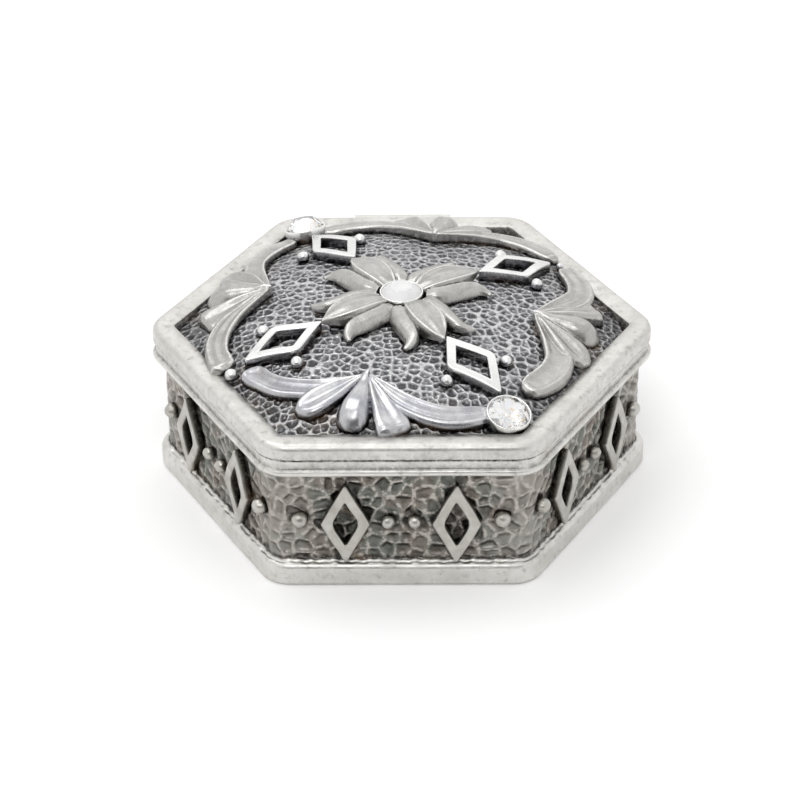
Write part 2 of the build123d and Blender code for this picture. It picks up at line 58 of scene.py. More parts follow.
# ---------------------------------------------------------------- the castings, as in the solid model
# An apothem is how far a side of the hexagon lies from its middle, and a corner is the radius at its corners.
SIDES = 6
FOOT_APOTHEM = 30.0
FOOT_HEIGHT = 3.4
FOOT_CORNER = 4.6
WALL_APOTHEM = 28.8
WALL_CORNER = 3.0
INNER_APOTHEM = 27.2
INNER_CORNER = 1.4
FLOOR_TOP = 2.0
BEAD_BOTTOM = 17.7
BEAD_TOP = 18.75
BEAD_APOTHEM = 30.4
BAND_APOTHEM = 30.0
BASE_RIM_CORNER = 4.8
SEAM_Z = 20.2
LID_APOTHEM = 30.3
LID_CORNER = 5.0
LID_TOP = 22.5
RIM_INNER_APOTHEM = 27.05
RIM_INNER_CORNER = 0.8
HOLLOW_APOTHEM = 26.4
# the lid's plate has a shallow crown, a rounder shoulder and a straight skirt down to the rim
CROWN_Z = 26.2
CROWN_RADIUS = 116.0
CROWN_REACH = 19.5
SHOULDER_RADIUS = 30.0
SKIRT_SLOPE = 19.0
PLATE_THICKNESS = 1.4
CROWN_EDGE = asin(CROWN_REACH / CROWN_RADIUS)
SKIRT_EDGE = radians(SKIRT_SLOPE)
SHOULDER_REACH = CROWN_REACH + SHOULDER_RADIUS * (sin(SKIRT_EDGE) - sin(CROWN_EDGE))


# ---------------------------------------------------------------- camera
# places and distances in millimetres, angles in degrees
FOCAL_PIXELS = 2830.5
FRAME_PIXELS = 800
SENSOR_MM = 36.0
NEAREST_SEEN, FURTHEST_SEEN = 10, 10000
CAMERA_PLACE = (3.25, -331.43, 225.23)
CAMERA_DOWN = 33.004
CAMERA_LEFT = 0.617
CAMERA_TILT = 0.499


def in_scene(name, data):
    """A new object in the scene."""
    thing = bpy.data.objects.new(name, data)
    bpy.context.scene.collection.objects.link(thing)
    return thing


def make_camera():
    """A long lens that looks down on the box from the front."""
    data = bpy.data.cameras.new("view_camera")
    data.sensor_width = SENSOR_MM
    data.lens = FOCAL_PIXELS / FRAME_PIXELS * SENSOR_MM
    data.clip_start, data.clip_end = NEAREST_SEEN * MM, FURTHEST_SEEN * MM
    camera = in_scene("view_camera", data)
    turn = Matrix.Rotation(radians(CAMERA_LEFT), 4, "Z") @ Matrix.Rotation(radians(90 - CAMERA_DOWN), 4, "X")
    turn = turn @ Matrix.Rotation(radians(-CAMERA_TILT), 4, "Z")
    camera.matrix_world = Matrix.Translation(Vector(CAMERA_PLACE) * MM) @ turn
    bpy.context.scene.camera = camera


# ---------------------------------------------------------------- materials
def srgb(code):
    """A colour written as a hex code, turned to linear light, with alpha 1."""
    parts = [int(code[i:i + 2], 16) / 255 for i in (1, 3, 5)]
    return [c / 12.92 if c <= 0.04045 else ((c + 0.055) / 1.055) ** 2.4 for c in parts] + [1.0]


def fill(item, **inputs):
    """Sets a node's inputs, named or numbered as i0, i1: each to a plain value, a node or a node's output."""
    for key, value in inputs.items():
        if key[0] == "i" and key[1:].isdigit():
            socket = item.inputs[int(key[1:])]
        else:
            socket = next(s for s in item.inputs if s.enabled and s.name == key.replace("_", " "))
        if isinstance(value, bpy.types.Node):
            value = next(s for s in value.outputs if s.enabled)
        if isinstance(value, bpy.types.NodeSocket):
            item.id_data.links.new(value, socket)
        else:
            socket.default_value = value
    return item


def add(tree, kind, settings=None, **inputs):
    """Adds a node with its settings and inputs. Stops are the places and colours of a colour ramp."""
    item = tree.nodes.new(kind)
    settings = dict(settings or {})
    stops = settings.pop("stops", [])
    for key, value in settings.items():
        setattr(item, key, value)
    for _ in stops[2:]:
        item.color_ramp.elements.new(0.5)
    for place, (share, colour) in enumerate(stops):
        item.color_ramp.elements[place].position = share
        item.color_ramp.elements[place].color = srgb(colour)
    return fill(item, **inputs)


# settings that many nodes share
SMOOTH = {"interpolation_type": "SMOOTHSTEP"}
COLOURS = {"data_type": "RGBA"}
TIMES = {"operation": "MULTIPLY"}
PLUS = {"operation": "ADD"}
MINUS = {"operation": "SUBTRACT"}
TIMES_PLUS = {"operation": "MULTIPLY_ADD"}
STRETCH = {"operation": "SCALE"}
LARGEST = {"operation": "MAXIMUM"}


def per_mm(size):
    """A pattern's scale for features about this many millimetres across."""
    return 1 / (size * MM)


def new_material(name):
    """A new material, its node tree, its shader and the object's own coordinates."""
    material = bpy.data.materials.new(name)
    material.use_nodes = True
    tree = material.node_tree
    return material, tree, tree.nodes["Principled BSDF"], add(tree, "ShaderNodeTexCoord").outputs["Object"]


def patches(tree, coords, size, levels, values=(0.0, 1.0), **noise):
    """A number that wanders in soft patches of this size in millimetres.

    Where the noise goes from one of the levels to the other, it goes from one of the values to the other."""
    cloud = add(tree, "ShaderNodeTexNoise", Vector=coords, Scale=per_mm(size), **noise)
    (low, high), (first, second) = levels, values
    return add(tree, "ShaderNodeMapRange", SMOOTH, Value=cloud, From_Min=low, From_Max=high,
               To_Min=first, To_Max=second)


def mottled(tree, coords, size, tones, **noise):
    """A colour that wanders between tones in soft patches of this size in millimetres."""
    cloud = add(tree, "ShaderNodeTexNoise", Vector=coords, Scale=per_mm(size), **noise)
    return add(tree, "ShaderNodeValToRGB", {"stops": tones}, Fac=cloud)


def uneven(tree, coords, size, depth, strength, over=None, **noise):
    """A surface made uneven by bumps of this size and depth in millimetres, over coarser bumps if given."""
    height = add(tree, "ShaderNodeTexNoise", Vector=coords, Scale=per_mm(size), **noise)
    coarser = {"Normal": over} if over else {}
    return add(tree, "ShaderNodeBump", Height=height, Distance=depth * MM, Strength=strength, **coarser)


# The nets of hollows. Cell is the hollows' spacing and wander how far the net drifts, both in millimetres.
# Mess is 0 for even hollows and 1 for scattered ones. Ridge and corner are where a hollow's side begins and
# ends, from its edge and from its middle, and bump is how high its middle rises, with its reach, in cells.
# Shallowest is the least depth of a hollow against the deepest. Overhang is how far up, in millimetres, a
# point looks for a ridge above it, and under is how dark the painted shade under that ridge lies. Dip and
# deepest are the depths between which the black dip's two coats come in.
PLATE_NET = {
    "cell": 1.32, "wander": 0.6, "mess": 0.88, "ridge": (0.0, 0.3), "corner": (0.42, 0.7), "bump": 0.75,
    "bump_reach": (0.04, 0.24), "shallowest": 0.75, "overhang": 0.12, "under": 0.3, "dip": (-0.08, 0.2),
    "deepest": (0.5, 0.9),
}
WALL_NET = {
    "cell": 1.95, "wander": 1.0, "mess": 1.0, "ridge": (0.0, 0.42), "corner": (0.42, 0.85), "bump": 0.0,
    "bump_reach": (0.1, 0.3), "shallowest": 0.45, "overhang": 0.36, "under": 0.85, "dip": (-0.1, 0.12),
    "deepest": (0.6, 1.4),
}


def hollows(tree, coords, net):
    """How deep a point lies in a net of rounded hollows: 0 on the ridges, 1 in a hollow, in plan of coords.

    The same nodes serve the mesh and the material, so that the finish follows the shape."""
    scale = per_mm(net["cell"])
    drift = add(tree, "ShaderNodeTexNoise", Vector=coords, Scale=scale / 2.5, Detail=2.0).outputs["Color"]
    drift = add(tree, "ShaderNodeVectorMath", MINUS, i0=drift, i1=(0.5, 0.5, 0.5))
    wander = (net["wander"] * MM,) * 3
    moved = add(tree, "ShaderNodeVectorMath", TIMES_PLUS, i0=drift, i1=wander, i2=coords)
    cells, edge = (
        add(tree, "ShaderNodeTexVoronoi", {"voronoi_dimensions": "2D", "feature": feature}, Vector=moved,
            Scale=scale, Randomness=net["mess"])
        for feature in ("F1", "DISTANCE_TO_EDGE")
    )
    low, high = net["ridge"]
    pit = add(tree, "ShaderNodeMapRange", SMOOTH, Value=edge, From_Min=low, From_Max=high)
    rounded, middle = (
        add(tree, "ShaderNodeMapRange", SMOOTH, Value=cells, From_Min=low, From_Max=high, To_Min=1.0,
            To_Max=0.0)
        for low, high in (net["corner"], net["bump_reach"])
    )
    pit = add(tree, "ShaderNodeMath", TIMES, i0=pit, i1=rounded)
    chance = add(tree, "ShaderNodeSeparateXYZ", Vector=cells.outputs["Color"]).outputs
    swell = add(tree, "ShaderNodeMapRange", SMOOTH, Value=chance["X"], From_Min=0.1, From_Max=0.6,
                To_Max=net["bump"])
    swell = add(tree, "ShaderNodeMath", TIMES, i0=swell, i1=middle)
    shallower = add(tree, "ShaderNodeMapRange", SMOOTH, Value=chance["Y"], From_Min=0.1, From_Max=0.9,
                    To_Min=net["shallowest"])
    deep = add(tree, "ShaderNodeMath", MINUS, i0=pit, i1=swell)
    return add(tree, "ShaderNodeMath", TIMES, i0=deep, i1=shallower)


def worn_edges(tree, colour, bright):
    """The colour with its worn edges and a painted highlight on them, brighter where the worn layer says."""
    layer = add(tree, "ShaderNodeAttribute", {"attribute_name": "wear_and_highlight"}).outputs["Fac"]
    return add(tree, "ShaderNodeMix", COLOURS, Factor=layer, A=colour, B=srgb(bright))


def patina_and_shade_over(tree, coords, colour, blackening, patch_mm, least):
    """The colour under the antiquing dip's leavings and painted shade, ragged-edged, as the patina layer
    says.

    Here and there the leavings have gone brown."""
    brown = patches(tree, coords, 7, (0.52, 0.7), (0.0, 0.7), Detail=3.0, Roughness=0.6)
    black = add(tree, "ShaderNodeMix", COLOURS, Factor=brown, A=srgb(blackening), B=srgb("#6b553f"))
    layer = add(tree, "ShaderNodeAttribute", {"attribute_name": "patina_and_shade"}).outputs["Fac"]
    ragged = patches(tree, coords, patch_mm, (0.3, 0.68), (least, 1.2), Detail=4.0, Roughness=0.7)
    layer = add(tree, "ShaderNodeMath", {**TIMES, "use_clamp": True}, i0=layer, i1=ragged)
    return add(tree, "ShaderNodeMix", COLOURS, Factor=layer, A=colour, B=black)


def satin_pewter():
    # Cast pewter, tumbled and hand buffed: a soft pale grey with fine scratches and soft dull patches.
    material, tree, shader, coords = new_material("satin_pewter")
    tones = [(0.3, "#c9c7c2"), (0.7, "#dfddd9")]
    colour = mottled(tree, coords, 5, tones, Detail=5.0, Roughness=0.65, Distortion=0.4)
    dull = patches(tree, coords, 1.2, (0.5, 0.8), (0.0, 0.8), Detail=4.0, Roughness=0.65)
    colour = add(tree, "ShaderNodeMix", COLOURS, Factor=dull, A=colour, B=srgb("#9d9a94"))
    colour = patina_and_shade_over(tree, coords, colour, "#33312f", 0.7, 0.1)
    gloss = patches(tree, coords, 1.8, (0.3, 0.7), (0.32, 0.5), Detail=4.0, Roughness=0.6)
    dents = uneven(tree, coords, 2.4, 0.12, 0.6, Detail=2.0, Roughness=0.5)
    # long shallow scratches, about a sixth of a millimetre wide, coarser than real so that they show
    drawn = add(tree, "ShaderNodeMapping", Vector=coords, Scale=(1.0, 1.0, 6.0))
    scratches = uneven(tree, drawn, 0.9, 0.04, 0.6, over=dents, Detail=5.0, Roughness=0.75)
    fill(shader, Base_Color=colour, Metallic=1.0, Roughness=gloss, Normal=scratches)
    return material


def polished_pewter():
    # Cast pewter relief, buffed on its high places with a painted highlight on the edges, left dark from the
    # antiquing dip in its hollows, with painted shade low on its sides.
    material, tree, shader, coords = new_material("polished_pewter")
    tones = [(0.3, "#a6a6ad"), (0.7, "#cbcbcb")]
    colour = mottled(tree, coords, 3.2, tones, Detail=3.0, Roughness=0.6, Distortion=0.5)
    colour = worn_edges(tree, colour, "#f0f0ee")
    colour = patina_and_shade_over(tree, coords, colour, "#1f1f22", 0.5, 0.8)
    gloss = patches(tree, coords, 1.2, (0.3, 0.7), (0.21, 0.33), Detail=4.0, Roughness=0.6)
    dents = uneven(tree, coords, 1.4, 0.07, 0.6, Detail=2.0, Roughness=0.5)
    grain = uneven(tree, coords, 0.3, 0.008, 0.5, over=dents, Detail=3.0, Roughness=0.6)
    fill(shader, Base_Color=colour, Metallic=1.0, Roughness=gloss, Normal=grain)
    return material


def brushed_pewter():
    # Cast pewter relief, scratch brushed after the dip: sandy and a little warm, with no mirror left.
    material, tree, shader, coords = new_material("brushed_pewter")
    tones = [(0.32, "#a9a8a5"), (0.68, "#c3c2bf")]
    colour = mottled(tree, coords, 2.2, tones, Detail=4.0, Roughness=0.7, Distortion=0.5)
    sand = patches(tree, coords, 0.28, (0.35, 0.75), (0.0, 0.35), Detail=3.0, Roughness=0.7)
    colour = add(tree, "ShaderNodeMix", COLOURS, Factor=sand, A=colour, B=srgb("#8c8a86"))
    colour = worn_edges(tree, colour, "#e2e1de")
    colour = patina_and_shade_over(tree, coords, colour, "#1f1f22", 0.5, 0.5)
    gloss = patches(tree, coords, 1.2, (0.3, 0.7), (0.24, 0.38), Detail=4.0, Roughness=0.6)
    dents = uneven(tree, coords, 1.6, 0.1, 0.6, Detail=2.0, Roughness=0.5)
    grain = uneven(tree, coords, 0.28, 0.035, 0.7, over=dents, Detail=3.0, Roughness=0.7)
    fill(shader, Base_Color=colour, Metallic=1.0, Roughness=gloss, Normal=grain)
    return material


def trim_pewter():
    # The wall trim: buffed faces, with warm brown tarnish and painted shade on the flanks.
    material, tree, shader, coords = new_material("trim_pewter")
    tones = [(0.3, "#a8a49e"), (0.7, "#c6c4be")]
    colour = mottled(tree, coords, 2.5, tones, Detail=3.0, Roughness=0.6, Distortion=0.5)
    colour = patina_and_shade_over(tree, coords, colour, "#4a443c", 0.6, 0.5)
    gloss = patches(tree, coords, 1.2, (0.3, 0.7), (0.3, 0.46), Detail=4.0, Roughness=0.6)
    grain = uneven(tree, coords, 0.35, 0.02, 0.5, Detail=3.0, Roughness=0.6)
    fill(shader, Base_Color=colour, Metallic=1.0, Roughness=gloss, Normal=grain)
    return material


def coats(tree, colour, *laid):
    """The colour with coats laid over it in turn.

    A coat is what it follows, between which values of that it comes in, the most it covers and its colour."""
    for value, (start, end), most, coat in laid:
        share = add(tree, "ShaderNodeMapRange", SMOOTH, Value=value, From_Min=start, From_Max=end,
                    To_Max=most)
        colour = add(tree, "ShaderNodeMix", COLOURS, Factor=share, A=colour, B=coat)
    return colour


def antiqued_field(name, net, layer, high, low, other_low, deepest):
    """Pewter with a net of hollows, dipped black and buffed on the ridges."""
    material, tree, shader, coords = new_material(name)
    high, low, other_low, deepest = srgb(high), srgb(low), srgb(other_low), srgb(deepest)
    cell = net["cell"]
    unrolled = coords
    if layer:
        unrolled = add(tree, "ShaderNodeAttribute", {"attribute_name": layer}).outputs["Vector"]
    field = add(tree, "ShaderNodeAttribute", {"attribute_name": "field"}).outputs["Fac"]
    deep = add(tree, "ShaderNodeMath", TIMES, i0=hollows(tree, unrolled, net), i1=field)
    higher = add(tree, "ShaderNodeVectorMath", PLUS, i0=unrolled, i1=(0.0, net["overhang"] * MM, 0.0))
    higher = add(tree, "ShaderNodeMath", TIMES, i0=hollows(tree, higher, net), i1=field)
    under = add(tree, "ShaderNodeMath", MINUS, i0=deep, i1=higher)
    grime = patches(tree, coords, 0.4 * cell, (0.3, 0.7), (-0.2, 0.2), Detail=4.0, Roughness=0.65)
    level = add(tree, "ShaderNodeMath", PLUS, i0=deep, i1=grime)
    tone = patches(tree, coords, 2.5 * cell, (0.42, 0.58), Detail=2.0)
    in_hollows = add(tree, "ShaderNodeMix", COLOURS, Factor=tone, A=low, B=other_low)
    # painted shade lies under each ridge, and painted light on the side of each hollow that faces up
    colour = coats(
        tree, high, (level, net["dip"], 1.0, in_hollows), (level, net["deepest"], 0.85, deepest),
        (under, (0.08, 0.6), net["under"], deepest), (under, (-0.15, -0.7), 0.4, high),
    )
    buffed = add(tree, "ShaderNodeAttribute", {"attribute_name": "buffed"}).outputs["Fac"]
    colour = add(tree, "ShaderNodeMix", COLOURS, Factor=buffed, A=colour, B=high)
    colour = patina_and_shade_over(tree, coords, colour, "#262624", 0.4 * cell, 0.6)
    gloss = add(tree, "ShaderNodeMapRange", SMOOTH, Value=level, From_Min=0.1, From_Max=0.7,
                To_Min=0.34, To_Max=0.56)
    grain = add(tree, "ShaderNodeTexNoise", Vector=coords, Scale=per_mm(0.3 * cell), Detail=4.0,
                Roughness=0.6)
    depth = add(tree, "ShaderNodeMath", TIMES_PLUS, i0=grain, i1=-0.5, i2=deep)
    bump = add(tree, "ShaderNodeBump", {"invert": True}, Height=depth, Distance=0.1 * cell * MM, Strength=0.7)
    fill(shader, Base_Color=colour, Metallic=1.0, Roughness=gloss, Normal=bump)
    return material


def pebbled_pewter():
    # The lid plate: a fine net of bright ridges round small blackened hollows, with painted shade under the
    # ridges, by the rim and round the relief.
    return antiqued_field("pebbled_pewter", PLATE_NET, None, "#c8c8c8", "#9c9c9e", "#8c8c8f", "#434346")


def hammered_pewter():
    # The walls: broad rounded pits, grey-green with old grime and painted shade under each ridge, between
    # pinkish grey ridges.
    return antiqued_field("hammered_pewter", WALL_NET, "unrolled", "#b2ada7", "#787a74", "#7e7770", "#3e403b")


def plain_cast_pewter():
    # The inside of the castings: plain as it left the mould, a little dull.
    material, tree, shader, coords = new_material("plain_cast_pewter")
    colour = mottled(tree, coords, 5, [(0.3, "#8f8d89"), (0.7, "#a3a19c")], Detail=4.0, Roughness=0.6)
    gloss = patches(tree, coords, 1.5, (0.3, 0.7), (0.42, 0.58), Detail=4.0, Roughness=0.6)
    grain = uneven(tree, coords, 0.4, 0.04, 0.6, Detail=4.0, Roughness=0.6)
    fill(shader, Base_Color=colour, Metallic=1.0, Roughness=gloss, Normal=grain)
    return material


def steel_wire():
    # Drawn steel wire: a little darker and sharper than the pewter.
    material, tree, shader, coords = new_material("steel_wire")
    colour = mottled(tree, coords, 0.8, [(0.3, "#8d8d8e"), (0.7, "#b0b0b0")], Detail=3.0, Roughness=0.6)
    gloss = patches(tree, coords, 0.5, (0.3, 0.7), (0.22, 0.36), Detail=3.0)
    fill(shader, Base_Color=colour, Metallic=1.0, Roughness=gloss)
    return material


CRYSTAL_IOR = 1.55


def cut_crystal():
    # Clear lead crystal, cut and polished: bright, with sharp facets.
    material, tree, shader, coords = new_material("cut_crystal")
    ripple = uneven(tree, coords, 0.8, 0.004, 0.3, Detail=2.0)
    fill(shader, Base_Color=srgb("#ffffff"), Roughness=0.02, IOR=CRYSTAL_IOR, Transmission_Weight=1.0)
    fill(shader, Normal=ripple)
    return material


def cloudy_crystal():
    # The middle crystal, fine frosted by wear: white and soft, its facets only just seen.
    material, tree, shader, coords = new_material("cloudy_crystal")
    colour = mottled(tree, coords, 1.2, [(0.3, "#eceded"), (0.7, "#f8f8f7")], Detail=3.0)
    fill(shader, Base_Color=colour, Roughness=0.22, IOR=CRYSTAL_IOR, Transmission_Weight=0.3)
    return material


def bright_foil():
    # The silvered back of a crystal: a mirror behind the facets, with warm patches painted in for the
    # crystal's coloured glints.
    material, tree, shader, coords = new_material("bright_foil")
    colour = mottled(tree, coords, 0.9, [(0.3, "#f4f6fa"), (0.6, "#f7f6f3"), (0.72, "#ecd2b2")], Detail=2.0)
    fill(shader, Base_Color=colour, Metallic=1.0, Roughness=0.14)
    return material


def milky_foil():
    # An older foil, gone matt: it whitens the whole crystal and hides the far facets.
    material, tree, shader, coords = new_material("milky_foil")
    colour = mottled(tree, coords, 0.9, [(0.3, "#f4f4f4"), (0.7, "#ffffff")], Detail=2.0)
    fill(shader, Base_Color=colour, Metallic=1.0, Roughness=0.42)
    return material


FINISHES = {maker.__name__: maker() for maker in (
    satin_pewter, polished_pewter, brushed_pewter, trim_pewter, pebbled_pewter, hammered_pewter,
    plain_cast_pewter, steel_wire, cut_crystal, cloudy_crystal, bright_foil, milky_foil,
)}


# ---------------------------------------------------------------- mesh helpers
def piece_from(name, mesh, materials, body, slot, *nodes):
    """A finished object in metres that rides on a body and may stand for CAD nodes."""
    thing = in_scene(f"{name}_finished", mesh)
    mesh.materials.clear()
    for material in materials:
        mesh.materials.append(FINISHES[material])
    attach(thing, body)
    if nodes:
        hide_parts(*nodes)
    return thing


def shade_smooth(mesh):
    mesh.polygons.foreach_set("use_smooth", [True] * len(mesh.polygons))


def mesh_from(name, points, faces):
    """A smooth mesh in metres from points in millimetres."""
    mesh = bpy.data.meshes.new(name)
    mesh.from_pydata((np.asarray(points, float) * MM).tolist(), [], faces)
    mesh.update()
    shade_smooth(mesh)
    return mesh


def set_layer(mesh, name, values):
    """Stores one number, or one vector, for each vertex, which a material or a node tree reads."""
    values = np.asarray(values, np.float32)
    kind, part = ("FLOAT", "value") if values.ndim == 1 else ("FLOAT_VECTOR", "vector")
    layer = mesh.attributes.get(name) or mesh.attributes.new(name, kind, "POINT")
    layer.data.foreach_set(part, values.ravel())


def per_vertex(mesh, field):
    """A field of the mesh's vertices, as rows of three numbers."""
    flat = np.empty(len(mesh.vertices) * 3)
    mesh.vertices.foreach_get(field, flat)
    return flat.reshape(-1, 3)


def points_of(mesh):
    """The mesh's points in millimetres."""
    return per_vertex(mesh, "co") / MM


def smoothstep(value, low, high):
    """0 up to low and 1 from high on, with a soft rise between, or the other way round if high is less."""
    share = np.clip((value - low) / (high - low), 0, 1)
    return share * share * (3 - 2 * share)


# how far the castings waver, over what length, and the seed of their waves
CASTING_WAVES = (0.05, 17.0, 4)
SHARPEST_CORNER = 0.02


def hand_finish(points, amount, length, seed):
    """Points moved by a gentle smooth waviness, as left by casting and buffing by hand."""
    rng = np.random.default_rng(seed)
    points = np.asarray(points, float)
    moved = points.copy()
    for share in (1.0, 0.6):
        for _ in range(3):
            wave = rng.normal(size=3)
            wave *= 2 * pi / (length * share) / np.linalg.norm(wave)
            push = rng.normal(size=3)
            push *= amount * share / np.linalg.norm(push) / 2
            moved += np.sin(points @ wave + rng.uniform(0, 2 * pi))[:, None] * push
    return np.clip(moved, *(np.array(CAD_BOX) / MM))


def rounded_outline(corners, inset, radii, per_side, per_corner):
    """A convex outline brought in by inset on every side, with rounded corners, as points in plan."""
    corners = np.asarray(corners, float)
    count = len(corners)
    ring = []
    for i in range(count):
        before, here, after = corners[i - 1], corners[i], corners[(i + 1) % count]
        into = (here - before) / np.linalg.norm(here - before)
        out = (after - here) / np.linalg.norm(after - here)
        half = 0.5 * atan2(into[0] * out[1] - into[1] * out[0], into @ out)
        inward = out - into
        inward /= np.linalg.norm(inward)
        tip = here + inward * inset / cos(half)
        radius = max(radii[i], SHARPEST_CORNER)
        centre = tip + inward * radius / cos(half)
        start = atan2(-into[0], into[1])
        for k in range(per_corner + 1):
            a = start + 2 * half * k / per_corner
            ring.append(centre + radius * np.array([cos(a), sin(a)]))
        ring.append(None)
    full = []
    for i, point in enumerate(ring):
        if point is not None:
            full.append(point)
            continue
        here = ring[i - 1]
        after = ring[(i + 1) % len(ring)]
        full += [here + (after - here) * k / per_side for k in range(1, per_side)]
    return np.array(full)


def hexagon(apothem, corner, per_side, per_corner):
    """A hexagon in plan with points on X, its rounded corners in order from the one at 120 degrees."""
    reach = apothem / cos(pi / SIDES)
    turns = [2 * pi * (k + 2) / SIDES for k in range(SIDES)]
    corners = [(reach * cos(a), reach * sin(a)) for a in turns]
    return rounded_outline(corners, 0.0, [corner] * SIDES, per_side, per_corner)


def strips(rings, closed_profile=False):
    """Quads between rings of points that run round an axis; rings go outside-up so that faces look out."""
    count = len(rings[0])
    points = np.vstack(rings)
    faces = []
    rows = len(rings) if closed_profile else len(rings) - 1
    for row in range(rows):
        a = row * count
        b = (row + 1) % len(rings) * count
        for i in range(count):
            j = (i + 1) % count
            faces.append((a + i, a + j, b + j, b + i))
    return points, faces


def level_ring(plan, height):
    """Plan points at one height."""
    return np.column_stack([plan, np.full(len(plan), height)])


def apothem_of(points):
    """How far out each point lies in plan, measured square to the nearest side of the hexagon."""
    square_to = [pi / SIDES + k * 2 * pi / SIDES for k in range(SIDES // 2)]
    return np.abs(points[:, :2] @ np.array([[cos(a), sin(a)] for a in square_to]).T).max(axis=1)


def turning(angle):
    """The matrix that turns rows of plan points anticlockwise."""
    return np.array([[cos(angle), sin(angle)], [-sin(angle), cos(angle)]])


def round_edge(apothem, corner, z, radius, start, end, steps):
    """Stations (apothem, corner, height) round an edge; angles in degrees from outward to up."""
    stations = []
    for k in range(steps + 1):
        a = radians(start + (end - start) * k / steps)
        out = radius * cos(a)
        stations.append((apothem - radius + out, corner - radius + out, z + radius * sin(a)))
    return stations


def plate_z(reach):
    """Height of the lid plate's outer face at these distances from its middle."""
    reach = np.asarray(reach, float)
    crown = CROWN_Z - CROWN_RADIUS + np.sqrt(CROWN_RADIUS**2 - np.minimum(reach, CROWN_REACH) ** 2)
    turn = sin(CROWN_EDGE) + (reach - CROWN_REACH) / SHOULDER_RADIUS
    turn = np.clip(turn, sin(CROWN_EDGE), sin(SKIRT_EDGE))
    shoulder = SHOULDER_RADIUS * (cos(CROWN_EDGE) - np.cos(np.arcsin(turn)))
    skirt = np.maximum(reach - SHOULDER_REACH, 0) * tan(SKIRT_EDGE)
    return crown - shoulder - skirt


def over_plate(points):
    """The plate's height under or over each point."""
    return plate_z(np.hypot(points[:, 0], points[:, 1]))


# ---------------------------------------------------------------- hollows in the plate and the walls
def new_tree(name, takes, gives):
    """A node tree with an input of each name and kind and one output for a mesh, and its inputs' sockets."""
    tree = bpy.data.node_groups.new(name, "GeometryNodeTree")
    for taken, kind in takes.items():
        tree.interface.new_socket(taken, in_out="INPUT", socket_type=f"NodeSocket{kind}")
    tree.interface.new_socket(gives, in_out="OUTPUT", socket_type="NodeSocketGeometry")
    return tree, add(tree, "NodeGroupInput").outputs


def hollow_tree(net):
    """A node tree that sinks a net of hollows into a surface, as deep as its field layer says."""
    takes = {"Surface": "Geometry", "Depth": "Float", "Finish": "Material"}
    tree, given = new_tree("net_of_hollows", takes, "Surface")
    unrolled = add(tree, "GeometryNodeInputNamedAttribute", {"data_type": "FLOAT_VECTOR"}, Name="unrolled")
    field = add(tree, "GeometryNodeInputNamedAttribute", {"data_type": "FLOAT"}, Name="field")
    sink = add(tree, "ShaderNodeMath", TIMES, i0=hollows(tree, unrolled.outputs["Attribute"], net), i1=field)
    sink = add(tree, "ShaderNodeMath", TIMES, i0=sink, i1=given["Depth"])
    sink = add(tree, "ShaderNodeMath", TIMES, i0=sink, i1=-1.0)
    normal = add(tree, "GeometryNodeInputNormal").outputs["Normal"]
    offset = add(tree, "ShaderNodeVectorMath", STRETCH, i0=normal, Scale=sink)
    moved = add(tree, "GeometryNodeSetPosition", Geometry=given["Surface"], Offset=offset)
    whole = add(tree, "GeometryNodeRealizeInstances", Geometry=moved)
    finished = add(tree, "GeometryNodeSetMaterial", Geometry=whole, Material=given["Finish"])
    add(tree, "NodeGroupOutput", Surface=finished)
    return tree


def plain_mesh(carrier):
    """The mesh that a carrier's modifier makes of its own; the carrier and its modifier are removed."""
    made = bpy.data.meshes.new_from_object(carrier.evaluated_get(bpy.context.evaluated_depsgraph_get()))
    carrier.modifiers.clear()
    bpy.data.objects.remove(carrier)
    return made


def with_tree(mesh, tree, values):
    """The plain mesh that a node tree makes of this one; values are its inputs by name."""
    carrier = in_scene("carrier", mesh)
    modifier = carrier.modifiers.new("shape", "NODES")
    modifier.node_group = tree
    for item in tree.interface.items_tree:
        if item.item_type == "SOCKET" and item.in_out == "INPUT" and item.name in values:
            modifier[item.identifier] = values[item.name]
    return plain_mesh(carrier)


def sunk(mesh, net, depth_mm, finish):
    """The mesh with a net of hollows sunk into it."""
    return with_tree(mesh, hollow_tree(net), {"Depth": depth_mm * MM, "Finish": FINISHES[finish]})


# ---------------------------------------------------------------- base
FOOT_TOE_ROUND = 0.75
FOOT_TOP_ROUND = 0.8
LEDGE_TOP = FOOT_HEIGHT + 0.3
LEDGE_LUMPS = 0.09
LIP_ROUND = 0.3
FLOOR_ROUND = 0.8
# the flat underside and floor have a ring of points this far in and a small one round their middles
FLAT_RING = 9
MIDDLE_APOTHEM, MIDDLE_CORNER = 1.0, 0.2
WALL_ROWS = 60
WALL_PER_SIDE = 118
WALL_PER_CORNER = 12
WALL_PIT_DEPTH = 0.42
# how far along a wall from its middle the buffing begins, and where it is full
BUFFED_FROM, BUFFED_AT = 9.5, 14.5
FAR_OFF = 99.0


def trim_on_walls(points):
    """How far each point lies from its wall's trim, and how far along its wall from the wall's middle."""
    near = np.full(len(points), FAR_OFF)
    far_along = np.zeros(len(points))
    wide, tall = SIDE_LOZENGE_HALF
    for side in range(SIDES):
        start, along, out = wall_frame(side)
        across = (points - start) @ along
        mine = (points @ out > WALL_APOTHEM - 0.6) & (np.abs(across) < WALL_APOTHEM / sqrt(3) + 0.1)
        far_along = np.where(mine, np.abs(across), far_along)
        found = []
        for middle in (-SIDE_LOZENGE_X, SIDE_LOZENGE_X):
            outside = np.abs(across - middle) / wide + np.abs(points[:, 2] - SIDE_LOZENGE_Z) / tall - 1
            found.append(outside * wide * tall / np.hypot(wide, tall))
        for x, z, radius in SIDE_BEADS:
            found.append(np.hypot(across - x, points[:, 2] - z) - radius)
        near = np.where(mine, np.minimum(near, np.min(found, axis=0)), near)
    return near, far_along


